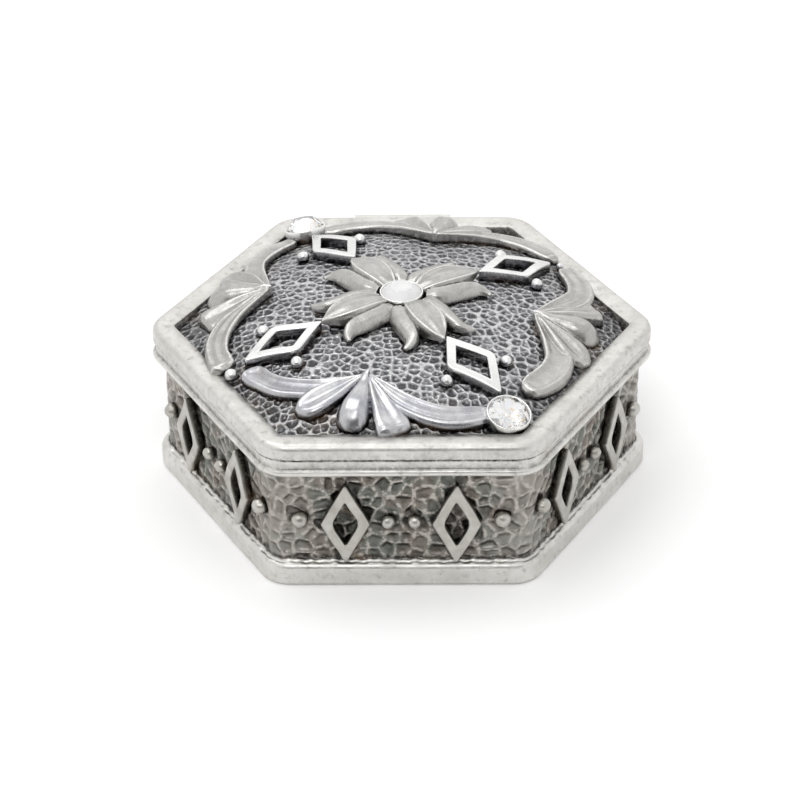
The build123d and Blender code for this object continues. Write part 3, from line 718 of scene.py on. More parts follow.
def base_stations():
    """The tray's section as lists of (apothem, corner, height): foot, wall, bead and band, and inside."""
    foot = [(MIDDLE_APOTHEM, MIDDLE_CORNER, 0.0), (FOOT_APOTHEM - FLAT_RING, FOOT_CORNER, 0.0)]
    foot += [(FOOT_APOTHEM - 1.6, FOOT_CORNER, 0.0)]
    foot += round_edge(FOOT_APOTHEM, FOOT_CORNER, FOOT_TOE_ROUND, FOOT_TOE_ROUND, -90, 0, 8)
    foot += round_edge(FOOT_APOTHEM, FOOT_CORNER, FOOT_HEIGHT - FOOT_TOP_ROUND, FOOT_TOP_ROUND, 0, 90, 8)
    foot += [(WALL_APOTHEM + 0.3, WALL_CORNER + 0.3, FOOT_HEIGHT + 0.12)]
    foot += [(WALL_APOTHEM + 0.12, WALL_CORNER + 0.12, LEDGE_TOP)]
    wall = []
    for k in range(WALL_ROWS + 1):
        wall.append((WALL_APOTHEM, WALL_CORNER, LEDGE_TOP + (BEAD_BOTTOM - LEDGE_TOP) * k / WALL_ROWS))
    bead_middle = (BEAD_BOTTOM + BEAD_TOP) / 2
    bead_radius = (BEAD_TOP - BEAD_BOTTOM) / 2
    rim = round_edge(BEAD_APOTHEM, BASE_RIM_CORNER, bead_middle, bead_radius, -90, 80, 10)
    rim += [(BAND_APOTHEM, BASE_RIM_CORNER, BEAD_TOP + 0.05), (BAND_APOTHEM, BASE_RIM_CORNER, SEAM_Z - 0.35)]
    rim += round_edge(BAND_APOTHEM, BASE_RIM_CORNER, SEAM_Z - LIP_ROUND, LIP_ROUND, 15, 90, 4)
    inside = [(INNER_APOTHEM + LIP_ROUND, INNER_CORNER + LIP_ROUND, SEAM_Z)]
    inside += [(INNER_APOTHEM, INNER_CORNER, SEAM_Z - LIP_ROUND)]
    inside += [(INNER_APOTHEM, INNER_CORNER, FLOOR_TOP + FLOOR_ROUND)]
    inside += [(INNER_APOTHEM - 0.25, INNER_CORNER, FLOOR_TOP + 0.25)]
    inside += [(INNER_APOTHEM - FLOOR_ROUND, INNER_CORNER, FLOOR_TOP)]
    inside += [(INNER_APOTHEM - FLAT_RING, INNER_CORNER, FLOOR_TOP)]
    inside += [(MIDDLE_APOTHEM, MIDDLE_CORNER, FLOOR_TOP)]
    return foot, wall, rim, inside


def base_patina_and_shade(near_trim, heights, apothems, along, is_wall):
    """Patina and painted shade on the tray at each point: above the foot, round the bead, by the trim and at
    the lip.
    """
    ragged = 0.25 * np.sin(along * 2.1) * np.sin(along * 0.83 + 1) + 0.1 * np.sin(along * 5.3)
    above_foot = smoothstep(heights - ragged, LEDGE_TOP + 0.7, LEDGE_TOP + 0.2) * (heights > LEDGE_TOP - 0.05)
    under_bead = smoothstep(heights, BEAD_BOTTOM - 0.8, BEAD_BOTTOM)
    over_bead = smoothstep(np.abs(heights - BEAD_TOP), 0.22, 0.0) * (apothems > WALL_APOTHEM + 0.3)
    lip = smoothstep(heights, SEAM_Z - 0.4, SEAM_Z - 0.1) * (apothems > BAND_APOTHEM - 0.2)
    by_trim = smoothstep(near_trim, 1.1, 0.0)
    wall_patina_and_shade = np.maximum.reduce([0.8 * above_foot, 0.5 * under_bead, 0.7 * by_trim]) * is_wall
    return np.maximum.reduce([wall_patina_and_shade, 0.45 * over_bead, 0.9 * lip])


def make_base():
    """The tray: foot, hammered wall, rolled bead and band outside, plain inside."""
    foot, wall, rim, inside = base_stations()
    stations = foot + wall + rim + inside
    rings = [level_ring(hexagon(a, c, WALL_PER_SIDE, WALL_PER_CORNER), z) for a, c, z in stations]
    points, faces = strips(rings)
    count = len(rings[0])
    faces.append(tuple(range(count))[::-1])
    faces.append(tuple(range(len(points) - count, len(points))))
    heights = points[:, 2]
    apothems = np.repeat([a for a, _, _ in stations], count)
    is_wall = (apothems < WALL_APOTHEM + 0.2) & (apothems > INNER_APOTHEM + 0.5)
    field = np.where(is_wall, smoothstep(heights, LEDGE_TOP - 0.1, LEDGE_TOP + 0.5), 0.0)
    plan = hexagon(WALL_APOTHEM, WALL_CORNER, WALL_PER_SIDE, WALL_PER_CORNER)
    round_wall = np.concatenate([[0], np.cumsum(np.hypot(*np.diff(plan, axis=0).T))])
    along = np.tile(round_wall, len(stations))
    points = hand_finish(points, *CASTING_WAVES)
    # the solder on the foot's ledge is lumpy
    on_ledge = (heights > FOOT_HEIGHT - 0.05) & (heights < LEDGE_TOP + 0.02)
    lumps = np.sin(along * 1.7) * np.sin(along * 0.61) + 0.6 * np.sin(along * 4.1 + 2)
    points[:, 2] += np.where(on_ledge, LEDGE_LUMPS * lumps, 0)
    # the underside stays flat on the table
    points[:, 2] = np.where(heights < 0.05, heights, np.maximum(points[:, 2], 0.02))
    mesh = mesh_from("base_casting", points, faces)
    set_layer(mesh, "field", field)
    set_layer(mesh, "unrolled", np.column_stack([along, heights, np.zeros(len(points))]) * MM)
    near_trim, far_along = trim_on_walls(points)
    set_layer(mesh, "patina_and_shade", base_patina_and_shade(near_trim, heights, apothems, along, is_wall))
    set_layer(mesh, "buffed", 0.45 * smoothstep(far_along, BUFFED_FROM, BUFFED_AT) * is_wall)
    mesh = sunk(mesh, WALL_NET, WALL_PIT_DEPTH, "hammered_pewter")
    materials = ["satin_pewter", "hammered_pewter", "plain_cast_pewter"]
    base = piece_from("base_casting", mesh, materials, "base", "base_casting", "base_shell")
    # each strip of faces has its material's place in that list, and so have the two flat ends
    finish = [0] * (len(foot) - 1) + [1] * (len(wall) + 1) + [0] * len(rim) + [2] * (len(inside) - 1)
    per_face = np.repeat(finish, count).tolist() + [2, 2]
    base.data.polygons.foreach_set("material_index", per_face)
    return base


# ---------------------------------------------------------------- lid
PLATE_RINGS = 178
PLATE_PIT_DEPTH = 0.18
PLATE_TUCKED_IN = 0.25
PLATE_SINK = 0.05
RIM_PER_SIDE = 60
RIM_PER_CORNER = 14
RIM_TOP_ROUND = 0.95
RIM_SEAM_ROUND = 0.35
NEAR_RELIEF = 1.5


def plate_lattice(apothem, rings):
    """A hexagon of even triangles, as plan points and faces."""
    step = apothem / cos(pi / SIDES) / rings
    spots = {}
    plan = []
    for q in range(-rings, rings + 1):
        for r in range(max(-rings, -q - rings), min(rings, -q + rings) + 1):
            spots[q, r] = len(plan)
            plan.append((step * (q + r / 2), step * r * sqrt(3) / 2))
    faces = []
    for (q, r), here in spots.items():
        right, upper, lower = spots.get((q + 1, r)), spots.get((q, r + 1)), spots.get((q + 1, r - 1))
        if right is not None and upper is not None:
            faces.append((here, right, upper))
        if right is not None and lower is not None:
            faces.append((here, lower, right))
    return np.array(plan), faces


class Nearby:
    """Finds how near points lie to the feet of the pieces on the plate."""

    def __init__(self, things):
        feet = np.vstack([points_of(thing.data) for thing in things])
        feet = feet[feet[:, 2] < over_plate(feet) + 0.3]
        self.tree = KDTree(len(feet))
        for i, foot in enumerate(feet[:, :2]):
            self.tree.insert((*foot, 0.0), i)
        self.tree.balance()

    def distances(self, points, most):
        """How far each point lies from the nearest foot in plan, or most where none is that near."""
        found = []
        for x, y in points[:, :2]:
            near = self.tree.find_range((x, y, 0.0), most)
            found.append(self.tree.find((x, y, 0.0))[2] if near else most)
        return np.array(found, float)


def make_plate(relief):
    """The pebbled plate's outer face, with an edge that goes in behind the rim's wall."""
    plan, faces = plate_lattice(RIM_INNER_APOTHEM + PLATE_TUCKED_IN, PLATE_RINGS)
    points = np.column_stack([plan, plate_z(np.hypot(*plan.T)) - PLATE_SINK])
    mesh = mesh_from("lid_plate", points, faces)
    set_layer(mesh, "field", np.ones(len(points)))
    set_layer(mesh, "unrolled", points * MM)
    # painted shade: darker round the feet of the relief, by the rim's wall and over the plate's outer part
    near = relief.distances(points, NEAR_RELIEF)
    inside = RIM_INNER_APOTHEM - apothem_of(plan)
    rim_shade = np.maximum(0.8 * smoothstep(inside, 1.0, 0.0), 0.5 * smoothstep(inside, 8.0, 1.5))
    set_layer(mesh, "patina_and_shade", np.maximum(rim_shade, 0.75 * smoothstep(near, 0.65, 0.05)))
    mesh = sunk(mesh, PLATE_NET, PLATE_PIT_DEPTH, "pebbled_pewter")
    return piece_from("lid_plate", mesh, ["pebbled_pewter"], "lid", "lid_casting")


def rim_rings():
    """The rim's rings of points, from the recess over the top and down to the seam, then the underside."""
    recess_floor = float(plate_z(RIM_INNER_APOTHEM / cos(pi / SIDES))) - 0.4
    stations = [(RIM_INNER_APOTHEM, RIM_INNER_CORNER, recess_floor)]
    stations += [(RIM_INNER_APOTHEM, RIM_INNER_CORNER, LID_TOP - 0.32)]
    stations += [(RIM_INNER_APOTHEM + 0.12, RIM_INNER_CORNER + 0.1, LID_TOP - 0.2)]
    stations += [(RIM_INNER_APOTHEM + 1.1, RIM_INNER_CORNER + 1.1, LID_TOP - 0.06)]
    stations += [(RIM_INNER_APOTHEM + 1.9, RIM_INNER_CORNER + 1.9, LID_TOP)]
    stations += round_edge(LID_APOTHEM, LID_CORNER, LID_TOP - RIM_TOP_ROUND, RIM_TOP_ROUND, 90, 0, 10)
    stations += round_edge(LID_APOTHEM, LID_CORNER, SEAM_Z + RIM_SEAM_ROUND, RIM_SEAM_ROUND, 0, -90, 5)
    stations += [(HOLLOW_APOTHEM + 0.3, RIM_INNER_CORNER, SEAM_Z)]
    stations += [(HOLLOW_APOTHEM, RIM_INNER_CORNER, SEAM_Z + 0.25)]
    rings = [level_ring(hexagon(a, c, RIM_PER_SIDE, RIM_PER_CORNER), z) for a, c, z in stations]
    plan = hexagon(HOLLOW_APOTHEM, RIM_INNER_CORNER, RIM_PER_SIDE, RIM_PER_CORNER)
    for share in (1.0, 0.9, 0.8, 0.7, 0.6, 0.5, 0.4, 0.3, 0.2, 0.1, 0.01):
        under = plate_z(np.hypot(*(plan * share).T)) - PLATE_THICKNESS
        rings.append(np.column_stack([plan * share, np.maximum(under, SEAM_Z + 0.3)]))
    return rings


def make_rim():
    """The lid's rim, its recess wall and the plain underside."""
    rings = rim_rings()
    points, faces = strips(rings[::-1])
    faces.append(tuple(range(len(rings[0])))[::-1])
    points = hand_finish(points, *CASTING_WAVES)
    points[:, 2] = np.maximum(points[:, 2], SEAM_Z + 0.02)
    mesh = mesh_from("lid_rim", points, faces)
    depth = LID_TOP - points[:, 2]
    apothems = apothem_of(points)
    # painted shade down the recess wall and along the seam; the rim a little darker further down from its top
    recess_shade = 0.9 * (apothems < RIM_INNER_APOTHEM + 0.1) * smoothstep(depth, 0.1, 0.45)
    seam_shade = 0.9 * smoothstep(points[:, 2], SEAM_Z + 0.42, SEAM_Z + 0.1) * (apothems > LID_APOTHEM - 0.3)
    darker_lower = 0.07 + 0.13 * smoothstep(depth, 0.5, 1.4)
    set_layer(mesh, "patina_and_shade", np.maximum.reduce([recess_shade, seam_shade, darker_lower]))
    materials = ["satin_pewter", "plain_cast_pewter"]
    rim = piece_from("lid_rim", mesh, materials, "lid", "lid_casting", "lid_shell")
    centres = np.array([p.center for p in mesh.polygons]) / MM
    inside = (apothem_of(centres) < HOLLOW_APOTHEM + 0.2).astype(int)
    rim.data.polygons.foreach_set("material_index", inside.tolist())
    return rim


# ---------------------------------------------------------------- relief on the lid
def curve(t, start, start_slope, end, end_slope, length):
    """A smooth curve's value at share t of its length, from its values and slopes at both ends."""
    return (
        (2 * t**3 - 3 * t**2 + 1) * start + (t**3 - 2 * t**2 + t) * (start_slope * length)
        + (3 * t**2 - 2 * t**3) * end + (t**3 - t**2) * (end_slope * length)
    )


def drawn_out(rows, count):
    """Rows of numbers drawn out to count rows on one smooth curve through every given row."""
    rows = np.asarray(rows, float)
    steps = np.hypot(*np.diff(rows[:, :2], axis=0).T)
    place = np.concatenate([[0], np.cumsum(steps)])
    slope = np.gradient(rows, place, axis=0)
    spots = np.linspace(0, place[-1], count)
    index = np.clip(np.searchsorted(place, spots) - 1, 0, len(rows) - 2)
    length = (place[index + 1] - place[index])[:, None]
    t = (spots - place[index])[:, None] / length
    return curve(t, rows[index], slope[index], rows[index + 1], slope[index + 1], length)


def across_curve(shares, heights, spots):
    """Heights between the given ones across a blade, on a smooth curve."""
    shares = np.asarray(shares, float)
    slope = np.gradient(heights, shares, axis=1)
    index = np.clip(np.searchsorted(shares, spots) - 1, 0, len(shares) - 2)
    width = shares[index + 1] - shares[index]
    t = (spots - shares[index]) / width
    return curve(t, heights[:, index], slope[:, index], heights[:, index + 1], slope[:, index + 1], width)


EDGE_ROUND = 0.38
NARROWEST = 0.05
SUNK = 0.3
LIFTED_FROM = 0.02
FOOT_POINTS = 9
# the fineness of the relief's skin, the rounds that soften its creases, and those that find its grooves
RELIEF_VOXEL = 0.095
CREASE_ROUNDS = 3
FINE_ROUNDS = 10
BROAD_ROUNDS = 70


def blade(stations, shares, place, across_count=27, along_count=70):
    """A closed leaf of relief. A station is (along, across, half width, underside, heights across it).

    Heights are above the plate, from the right edge to the left, and shares say where across the leaf each
    one is, from -1 to 1. Place is (x, y, angle): where the leaf grows from and which way it points."""
    x, y, angle = place
    rows = drawn_out([(*s[:4], *s[4]) for s in stations], along_count)
    course = np.gradient(rows[:, :2], axis=0)
    course /= np.hypot(*course.T)[:, None]
    leftward = np.column_stack([-course[:, 1], course[:, 0]])
    half = np.maximum(rows[:, 2], NARROWEST)
    spots = np.sin(np.linspace(-pi / 2, pi / 2, across_count))
    # the crest runs from the left edge to the right, so its heights are turned round
    top = across_curve(shares, rows[:, 4:], spots)[:, ::-1]
    near_edge = np.abs(spots)[None, :] * half[:, None] - (half[:, None] - EDGE_ROUND)
    share = np.clip(near_edge / EDGE_ROUND, 0, 1)
    top -= EDGE_ROUND * (1 - np.sqrt(1 - share**2))

    def laid(spread_by, heights):
        """Points this share of the half width to the left of the leaf's course, at these heights."""
        plan = rows[:, None, :2] + leftward[:, None, :] * (half[:, None] * spread_by)[:, :, None]
        plan = plan @ turning(angle) + np.array([x, y])
        return np.concatenate([plan, heights[:, :, None]], axis=2)

    middle = laid(np.zeros((along_count, 1)), np.zeros((along_count, 1)))
    level = plate_z(np.hypot(middle[:, :, 0], middle[:, :, 1]))
    crest = laid(np.broadcast_to(-spots, (along_count, across_count)), level + top)
    lift = np.where(rows[:, 3] > LIFTED_FROM, rows[:, 3], -SUNK)
    foot_spots = np.broadcast_to(np.linspace(-1, 1, FOOT_POINTS), (along_count, FOOT_POINTS))
    foot = laid(foot_spots, np.zeros((along_count, FOOT_POINTS)))
    foot[:, :, 2] = plate_z(np.hypot(foot[:, :, 0], foot[:, :, 1])) + lift[:, None]
    rings = np.concatenate([crest, foot], axis=1)
    count = rings.shape[1]
    points = rings.reshape(-1, 3)
    faces = []
    for row in range(along_count - 1):
        a = row * count
        for i in range(count):
            j = (i + 1) % count
            faces.append((a + i, a + count + i, a + count + j, a + j))
    faces.append(tuple(range(count)))
    faces.append(tuple(range(len(points) - count, len(points)))[::-1])
    return points, faces


def relaxed(points, edges, rounds):
    """Points drawn half way to the mean of their neighbours, round by round."""
    count = len(points)
    share = np.maximum(np.bincount(edges.ravel(), minlength=count), 1)
    for _ in range(rounds):
        total = np.column_stack([
            np.bincount(edges[:, 0], points[edges[:, 1], axis], count)
            + np.bincount(edges[:, 1], points[edges[:, 0], axis], count) for axis in range(3)
        ])
        points = points + 0.5 * (total / share[:, None] - points)
    return points


def edges_of(mesh):
    """The mesh's edges as pairs of its points' numbers."""
    edges = np.empty(len(mesh.edges) * 2, np.int64)
    mesh.edges.foreach_get("vertices", edges)
    return edges.reshape(-1, 2)


def fused(name, solids):
    """One skin round overlapping closed solids, with softened creases; in millimetres until the end."""
    points, faces = [], []
    for part_points, part_faces in solids:
        start = sum(len(p) for p in points)
        points.append(part_points)
        faces += [tuple(start + i for i in face) for face in part_faces]
    rough = bpy.data.meshes.new("rough")
    rough.from_pydata(np.vstack(points).tolist(), [], faces)
    carrier = in_scene("carrier", rough)
    modifier = carrier.modifiers.new("skin", "REMESH")
    modifier.mode = "VOXEL"
    modifier.voxel_size = RELIEF_VOXEL
    mesh = plain_mesh(carrier)
    mesh.name = name
    smooth = relaxed(per_vertex(mesh, "co"), edges_of(mesh), CREASE_ROUNDS)
    mesh.vertices.foreach_set("co", (smooth * MM).ravel())
    mesh.update()
    shade_smooth(mesh)
    return mesh


def creases(mesh, rounds):
    """How far each point lies below the softened shape, in millimetres: positive in a groove."""
    points = points_of(mesh)
    softened = relaxed(points, edges_of(mesh), rounds)
    return ((softened - points) * per_vertex(mesh, "normal")).sum(axis=1)


def darken(mesh, dark_to, in_dishes):
    """Patina in the grooves, a share of it in the broad dishes, and painted shade on the sides up to dark_to.
    """
    points = points_of(mesh)
    above = points[:, 2] - over_plate(points)
    fold = creases(mesh, FINE_ROUNDS)
    fine = smoothstep(fold, 0.01, 0.06)
    broad = smoothstep(creases(mesh, BROAD_ROUNDS), 0.02, 0.2)
    sides = smoothstep(above, dark_to, 0.05)
    set_layer(mesh, "patina_and_shade", np.clip(0.75 * fine + in_dishes * broad + sides, 0, 1))
    # worn convex edges above dark_to, brightened with a painted highlight
    set_layer(mesh, "wear_and_highlight", smoothstep(-fold, 0.008, 0.035) * smoothstep(above, dark_to - 0.1, dark_to + 0.3))


PATTERN_TURN = 1.6
# each flower's direction and its own small turn, in degrees
FLOWERS = {"right": (30, 1), "back": (120, 3), "left": (210, -1), "front": (300, -4)}
# where each palmette grows from, as a direction and a reach, and its own small turn
PALMETTES = {
    "front": (-103.4, 18.8, -2.9),
    "right": (-10.4, 18.5, -0.6),
    "back": (76.1, 19.3, 1.5),
    "left": (168.3, 18.7, 0.4),
}
CORNER_STONES = {"front": 300, "back": 120}
CORNER_STONE_REACH = 27.6
CUP_RADIUS = 2.97
CENTRE_CUP_HEIGHT = 1.3
CORNER_CUP_HEIGHT = 1.6
SOLDER_LINE = 0.08

# where across a leaf its heights are given, as shares of its half width from the right edge to the left
FIVE = (-1, -0.68, 0, 0.68, 1)
RIMMED = (-1, -0.88, -0.72, 0, 0.72, 0.88, 1)
RIDGED = (-1, -0.78, -0.48, -0.1, 0.36, 0.78, 1)

# the leaves' stations: (along, across, half width, underside, heights from the right edge to the left)
CENTRE_PETAL = [
    (2.9, 0.0, 1.15, 0.0, (1.2, 1.5, 1.35, 1.5, 1.35, 1.5, 1.2)),
    (4.0, 0.0, 1.65, 0.0, (1.5, 1.9, 1.8, 1.95, 1.8, 1.9, 1.5)),
    (5.6, 0.0, 2.05, 0.0, (1.75, 2.2, 2.1, 2.25, 2.1, 2.2, 1.75)),
    (7.4, 0.0, 2.20, 0.0, (1.85, 2.3, 2.2, 2.4, 2.2, 2.3, 1.85)),
    (9.2, 0.0, 1.95, 0.1, (1.8, 2.2, 2.1, 2.25, 2.1, 2.2, 1.8)),
    (10.7, 0.0, 1.35, 0.4, (1.6, 1.95, 1.85, 1.95, 1.85, 1.95, 1.6)),
    (11.8, 0.0, 0.60, 0.6, (1.4, 1.6, 1.6, 1.65, 1.6, 1.6, 1.4)),
    (12.4, 0.0, 0.20, 0.7, (1.2, 1.35, 1.4, 1.45, 1.4, 1.35, 1.2)),
]
SIDE_PETAL = [
    (2.75, 1.95, 0.75, 0.0, (1.1, 1.3, 1.3, 1.1, 0.7)),
    (3.5, 2.45, 1.15, 0.0, (1.35, 1.65, 1.65, 1.35, 0.7)),
    (5.0, 3.00, 1.30, 0.0, (1.5, 1.8, 1.75, 1.25, 0.5)),
    (7.0, 3.25, 1.28, 0.0, (1.55, 1.85, 1.75, 1.2, 0.5)),
    (8.7, 3.35, 1.22, 0.0, (1.4, 1.75, 1.65, 1.15, 0.55)),
    (9.9, 3.65, 1.10, 0.2, (1.1, 1.5, 1.5, 1.05, 0.6)),
    (10.6, 4.20, 0.85, 0.3, (0.8, 1.1, 1.2, 0.95, 0.6)),
    (11.0, 4.85, 0.55, 0.35, (0.65, 0.8, 0.9, 0.8, 0.6)),
    (11.15, 5.35, 0.30, 0.35, (0.55, 0.65, 0.7, 0.65, 0.5)),
]
MIDDLE_LOBE = [
    (-0.4, 0.0, 0.30, 0.0, (1.3, 1.6, 1.75, 1.6, 1.3)),
    (0.5, 0.0, 0.50, 0.0, (1.3, 1.7, 1.9, 1.7, 1.3)),
    (2.2, 0.0, 1.00, 0.0, (1.0, 1.5, 1.75, 1.5, 1.0)),
    (4.2, 0.0, 1.70, 0.0, (0.8, 1.65, 2.05, 1.65, 0.8)),
    (6.0, 0.0, 2.15, 0.0, (0.7, 1.85, 2.3, 1.85, 0.7)),
    (7.4, 0.0, 2.05, 0.0, (0.5, 1.6, 2.1, 1.6, 0.5)),
    (8.3, 0.0, 1.50, 0.0, (0.3, 1.0, 1.4, 1.0, 0.3)),
    (8.8, 0.0, 0.70, 0.0, (0.1, 0.35, 0.5, 0.35, 0.1)),
]
SPOON_LOBE = [
    (0.4, 0.0, 0.28, 0.0, (1.2, 1.5, 1.5, 1.5, 1.2)),
    (2.2, 0.0, 0.80, 0.0, (1.1, 1.5, 1.3, 1.35, 1.0)),
    (4.0, 0.0, 1.45, 0.0, (1.1, 1.6, 1.1, 1.2, 0.9)),
    (6.0, 0.0, 1.95, 0.0, (1.1, 1.6, 0.95, 1.15, 0.85)),
    (7.8, 0.0, 2.10, 0.0, (1.0, 1.5, 0.9, 1.1, 0.8)),
    (9.1, 0.0, 1.85, 0.0, (0.8, 1.3, 0.95, 1.0, 0.65)),
    (9.9, 0.0, 1.30, 0.0, (0.5, 1.0, 1.0, 0.85, 0.4)),
    (10.4, 0.0, 0.65, 0.0, (0.2, 0.6, 0.7, 0.55, 0.2)),
]
BLUNT_LOBE = [
    (0.4, 0.0, 0.28, 0.0, (1.2, 1.5, 1.5, 1.5, 1.2)),
    (2.2, 0.0, 0.70, 0.0, (1.1, 1.5, 1.25, 1.45, 1.1)),
    (4.0, 0.0, 1.20, 0.0, (1.1, 1.5, 1.05, 1.35, 1.1)),
    (6.0, 0.1, 1.70, 0.0, (1.1, 1.45, 1.05, 1.25, 1.1)),
    (7.8, 0.2, 2.15, 0.0, (1.05, 1.35, 1.05, 1.2, 1.05)),
    (9.2, 0.3, 2.35, 0.0, (0.9, 1.3, 1.15, 1.2, 0.95)),
    (9.8, 0.3, 2.10, 0.0, (0.7, 1.15, 1.1, 1.1, 0.75)),
    (10.1, 0.3, 1.50, 0.0, (0.4, 0.7, 0.75, 0.7, 0.4)),
]
# how far each palmette's side lobes turn from its middle one, clockwise and anticlockwise, in degrees
SIDE_LOBE_SPREAD = {"front": (47, 37), "right": (40, 40), "back": (38.5, 38.5), "left": (40, 40)}
# the arms' course as (outward, sideways, half width), and their heights from the inner edge to the outer
ARM_COURSE = [
    (0.1, 0.3, 0.28), (0.8, 1.5, 0.50), (2.0, 3.3, 0.90), (3.5, 6.0, 1.32), (4.2, 8.8, 1.48),
    (4.0, 11.6, 1.55), (3.0, 14.2, 1.50), (1.9, 15.9, 1.28), (1.2, 16.8, 0.90), (0.9, 17.2, 0.42),
]
LOOPED = [
    (1.7, 1.8, 1.75, 1.7, 1.7, 1.6, 1.2), (1.7, 1.75, 1.4, 1.55, 1.3, 1.35, 0.9),
    (1.65, 1.7, 1.25, 1.3, 0.95, 1.05, 0.7), (1.65, 1.7, 1.2, 1.2, 0.8, 0.9, 0.55),
    (1.65, 1.7, 1.15, 1.15, 0.75, 0.85, 0.5), (1.65, 1.7, 1.15, 1.15, 0.75, 0.85, 0.5),
    (1.6, 1.65, 1.15, 1.15, 0.8, 0.85, 0.5), (1.4, 1.5, 1.15, 1.2, 0.9, 0.85, 0.45),
    (0.7, 1.15, 1.2, 1.2, 1.05, 0.8, 0.3), (0.35, 0.65, 0.75, 0.7, 0.65, 0.45, 0.2),
]
BANDED = [
    (1.7, 1.8, 1.75, 1.7, 1.7, 1.6, 1.2), (1.7, 1.75, 1.45, 1.4, 1.3, 1.3, 0.9),
    (1.65, 1.7, 1.25, 1.05, 0.95, 1.0, 0.7), (1.65, 1.7, 1.15, 0.9, 0.75, 0.85, 0.55),
    (1.65, 1.7, 1.15, 0.85, 0.7, 0.8, 0.5), (1.65, 1.7, 1.15, 0.85, 0.7, 0.8, 0.5),
    (1.6, 1.65, 1.15, 0.9, 0.75, 0.8, 0.5), (1.4, 1.5, 1.15, 0.95, 0.85, 0.8, 0.45),
    (0.7, 1.15, 1.2, 1.2, 1.05, 0.8, 0.3), (0.35, 0.65, 0.75, 0.7, 0.65, 0.45, 0.2),
]


def mirrored(stations):
    """The same leaf on the other side of the line it grows from."""
    return [(u, -v, half, under, heights[::-1]) for u, v, half, under, heights in stations]


# each palmette's looped arm and banded arm: its length against the course's, how far its middle and its end
# lean outward, how much wider its half width is, how blunt its end is, and its height against the list's
ARM_FORMS = {
    "front": ((1.0, -0.55, -0.55, 0.1, 1.0, 0.85), (0.97, -0.95, -0.95, 0.08, 1.5, 0.75)),
    "right": ((1.0, 0.5, 0.3, 0.4, 1.0, 0.9), (0.91, 0.3, 0.0, 0.5, 1.0, 0.9)),
    "back": ((1.0, 0.2, 0.2, 0.3, 1.0, 0.95), (1.0, 0.2, 0.2, 0.3, 1.0, 0.95)),
    "left": ((1.0, 0.2, 0.9, 0.1, 1.7, 0.9), (1.04, 0.0, -0.4, 0.1, 1.0, 0.9)),
}
WIDEST_END = 1.75
# how far sideways an arm starts to lean, leans its middle's share and its end's, is at its full extra width,
# and begins its end, which narrows against this half width
ARM_LEANS_AT = (0, 2.5, 8.8, 17.2)
ARM_WIDE_FROM = 6
ARM_END_FROM = 15
ARM_END_TAPER = 1.3


def arm(heights, form):
    """An arm's stations: the course with the arm's own length, lean, width and end."""
    length, lean_middle, lean_end, wider, blunt, height = form
    stations = []
    for (out, aside, half), row in zip(ARM_COURSE, heights):
        out += np.interp(aside, ARM_LEANS_AT, (0, 0, lean_middle, lean_end))
        near_end = aside > ARM_END_FROM
        half += wider * min(aside / ARM_WIDE_FROM, 1) * (half / ARM_END_TAPER if near_end else 1)
        if near_end:
            half = min(half * blunt, WIDEST_END)
        stations.append((out, aside * length, half, 0.0, [height * rise for rise in row[::-1]]))
    return stations


# a relief piece's finish, how far up its sides the painted shade goes and how much patina lies in its dishes
BRUSHED_FLOWER = ("brushed_pewter", 0.5, 0.6)
BRUSHED_PALMETTE = ("brushed_pewter", 0.5, 0.35)
HANDLED_PALMETTE = ("polished_pewter", 0.9, 0.7)


def relief_piece(name, leaves, finish, dark_to, in_dishes):
    """One casting made of overlapping leaves."""
    mesh = fused(name, leaves)
    darken(mesh, dark_to, in_dishes)
    return piece_from(name, mesh, [finish], "lid", "lid_relief", name)


def make_flower(name):
    """A flower of three petals that points from the lid's middle to a lozenge."""
    angle, turn = FLOWERS[name]
    place = (0, 0, radians(angle + PATTERN_TURN + turn))
    leaves = [blade(CENTRE_PETAL, RIMMED, place)]
    leaves += [blade(mirrored(SIDE_PETAL), FIVE, place), blade(SIDE_PETAL, FIVE, place)]
    return relief_piece(f"flower_{name}", leaves, *BRUSHED_FLOWER)


def make_palmette(name):
    """A palmette of three lobes, with a looped arm on one side and a banded arm on the other."""
    angle, reach, turn = PALMETTES[name]
    x, y = reach * cos(radians(angle)), reach * sin(radians(angle))
    aim = radians(angle + turn)
    clockwise, other = SIDE_LOBE_SPREAD[name]
    leaves = [blade(MIDDLE_LOBE, FIVE, (x, y, aim))]
    leaves += [blade(SPOON_LOBE, FIVE, (x, y, aim - radians(clockwise)))]
    leaves += [blade(BLUNT_LOBE, FIVE, (x, y, aim + radians(other)))]
    looped, banded = ARM_FORMS[name]
    for stations in (arm(LOOPED, looped), mirrored(arm(BANDED, banded))):
        leaves.append(blade(stations, RIDGED, (x, y, aim), across_count=35, along_count=110))
    # the front palmette has had the most handling and polishing
    finish = HANDLED_PALMETTE if name == "front" else BRUSHED_PALMETTE
    return relief_piece(f"palmette_{name}", leaves, *finish)


# ---------------------------------------------------------------- lozenge frames
BAR_PER_SIDE = 30
BAR_PER_CORNER = 8
EDGE_STEPS = 4


def frame_rings(corners, bar, outer_radii, inner_radii, height, edge, below):
    """An open frame's skin as rings of (plan, height): up the outside, over the top, down the inside.

    Edge is the radius of its rounded edges, and below is how far it goes into what it sits on."""
    outside = [(0, -below), (0, height * 0.5), (0, height - edge)]
    for k in range(1, EDGE_STEPS + 1):
        a = k * pi / 2 / EDGE_STEPS
        outside.append((edge * (1 - cos(a)), height - edge + edge * sin(a)))
    inside = [(bar - inset, rise) for inset, rise in outside[::-1]]
    made = []
    for inset, rise in outside + [(share * bar, height) for share in (0.35, 0.65)] + inside:
        share = inset / bar
        radii = [max(a - inset, 0.05) * (1 - share) + b * share for a, b in zip(outer_radii, inner_radii)]
        made.append((rounded_outline(corners, inset, radii, BAR_PER_SIDE, BAR_PER_CORNER), rise))
    return made


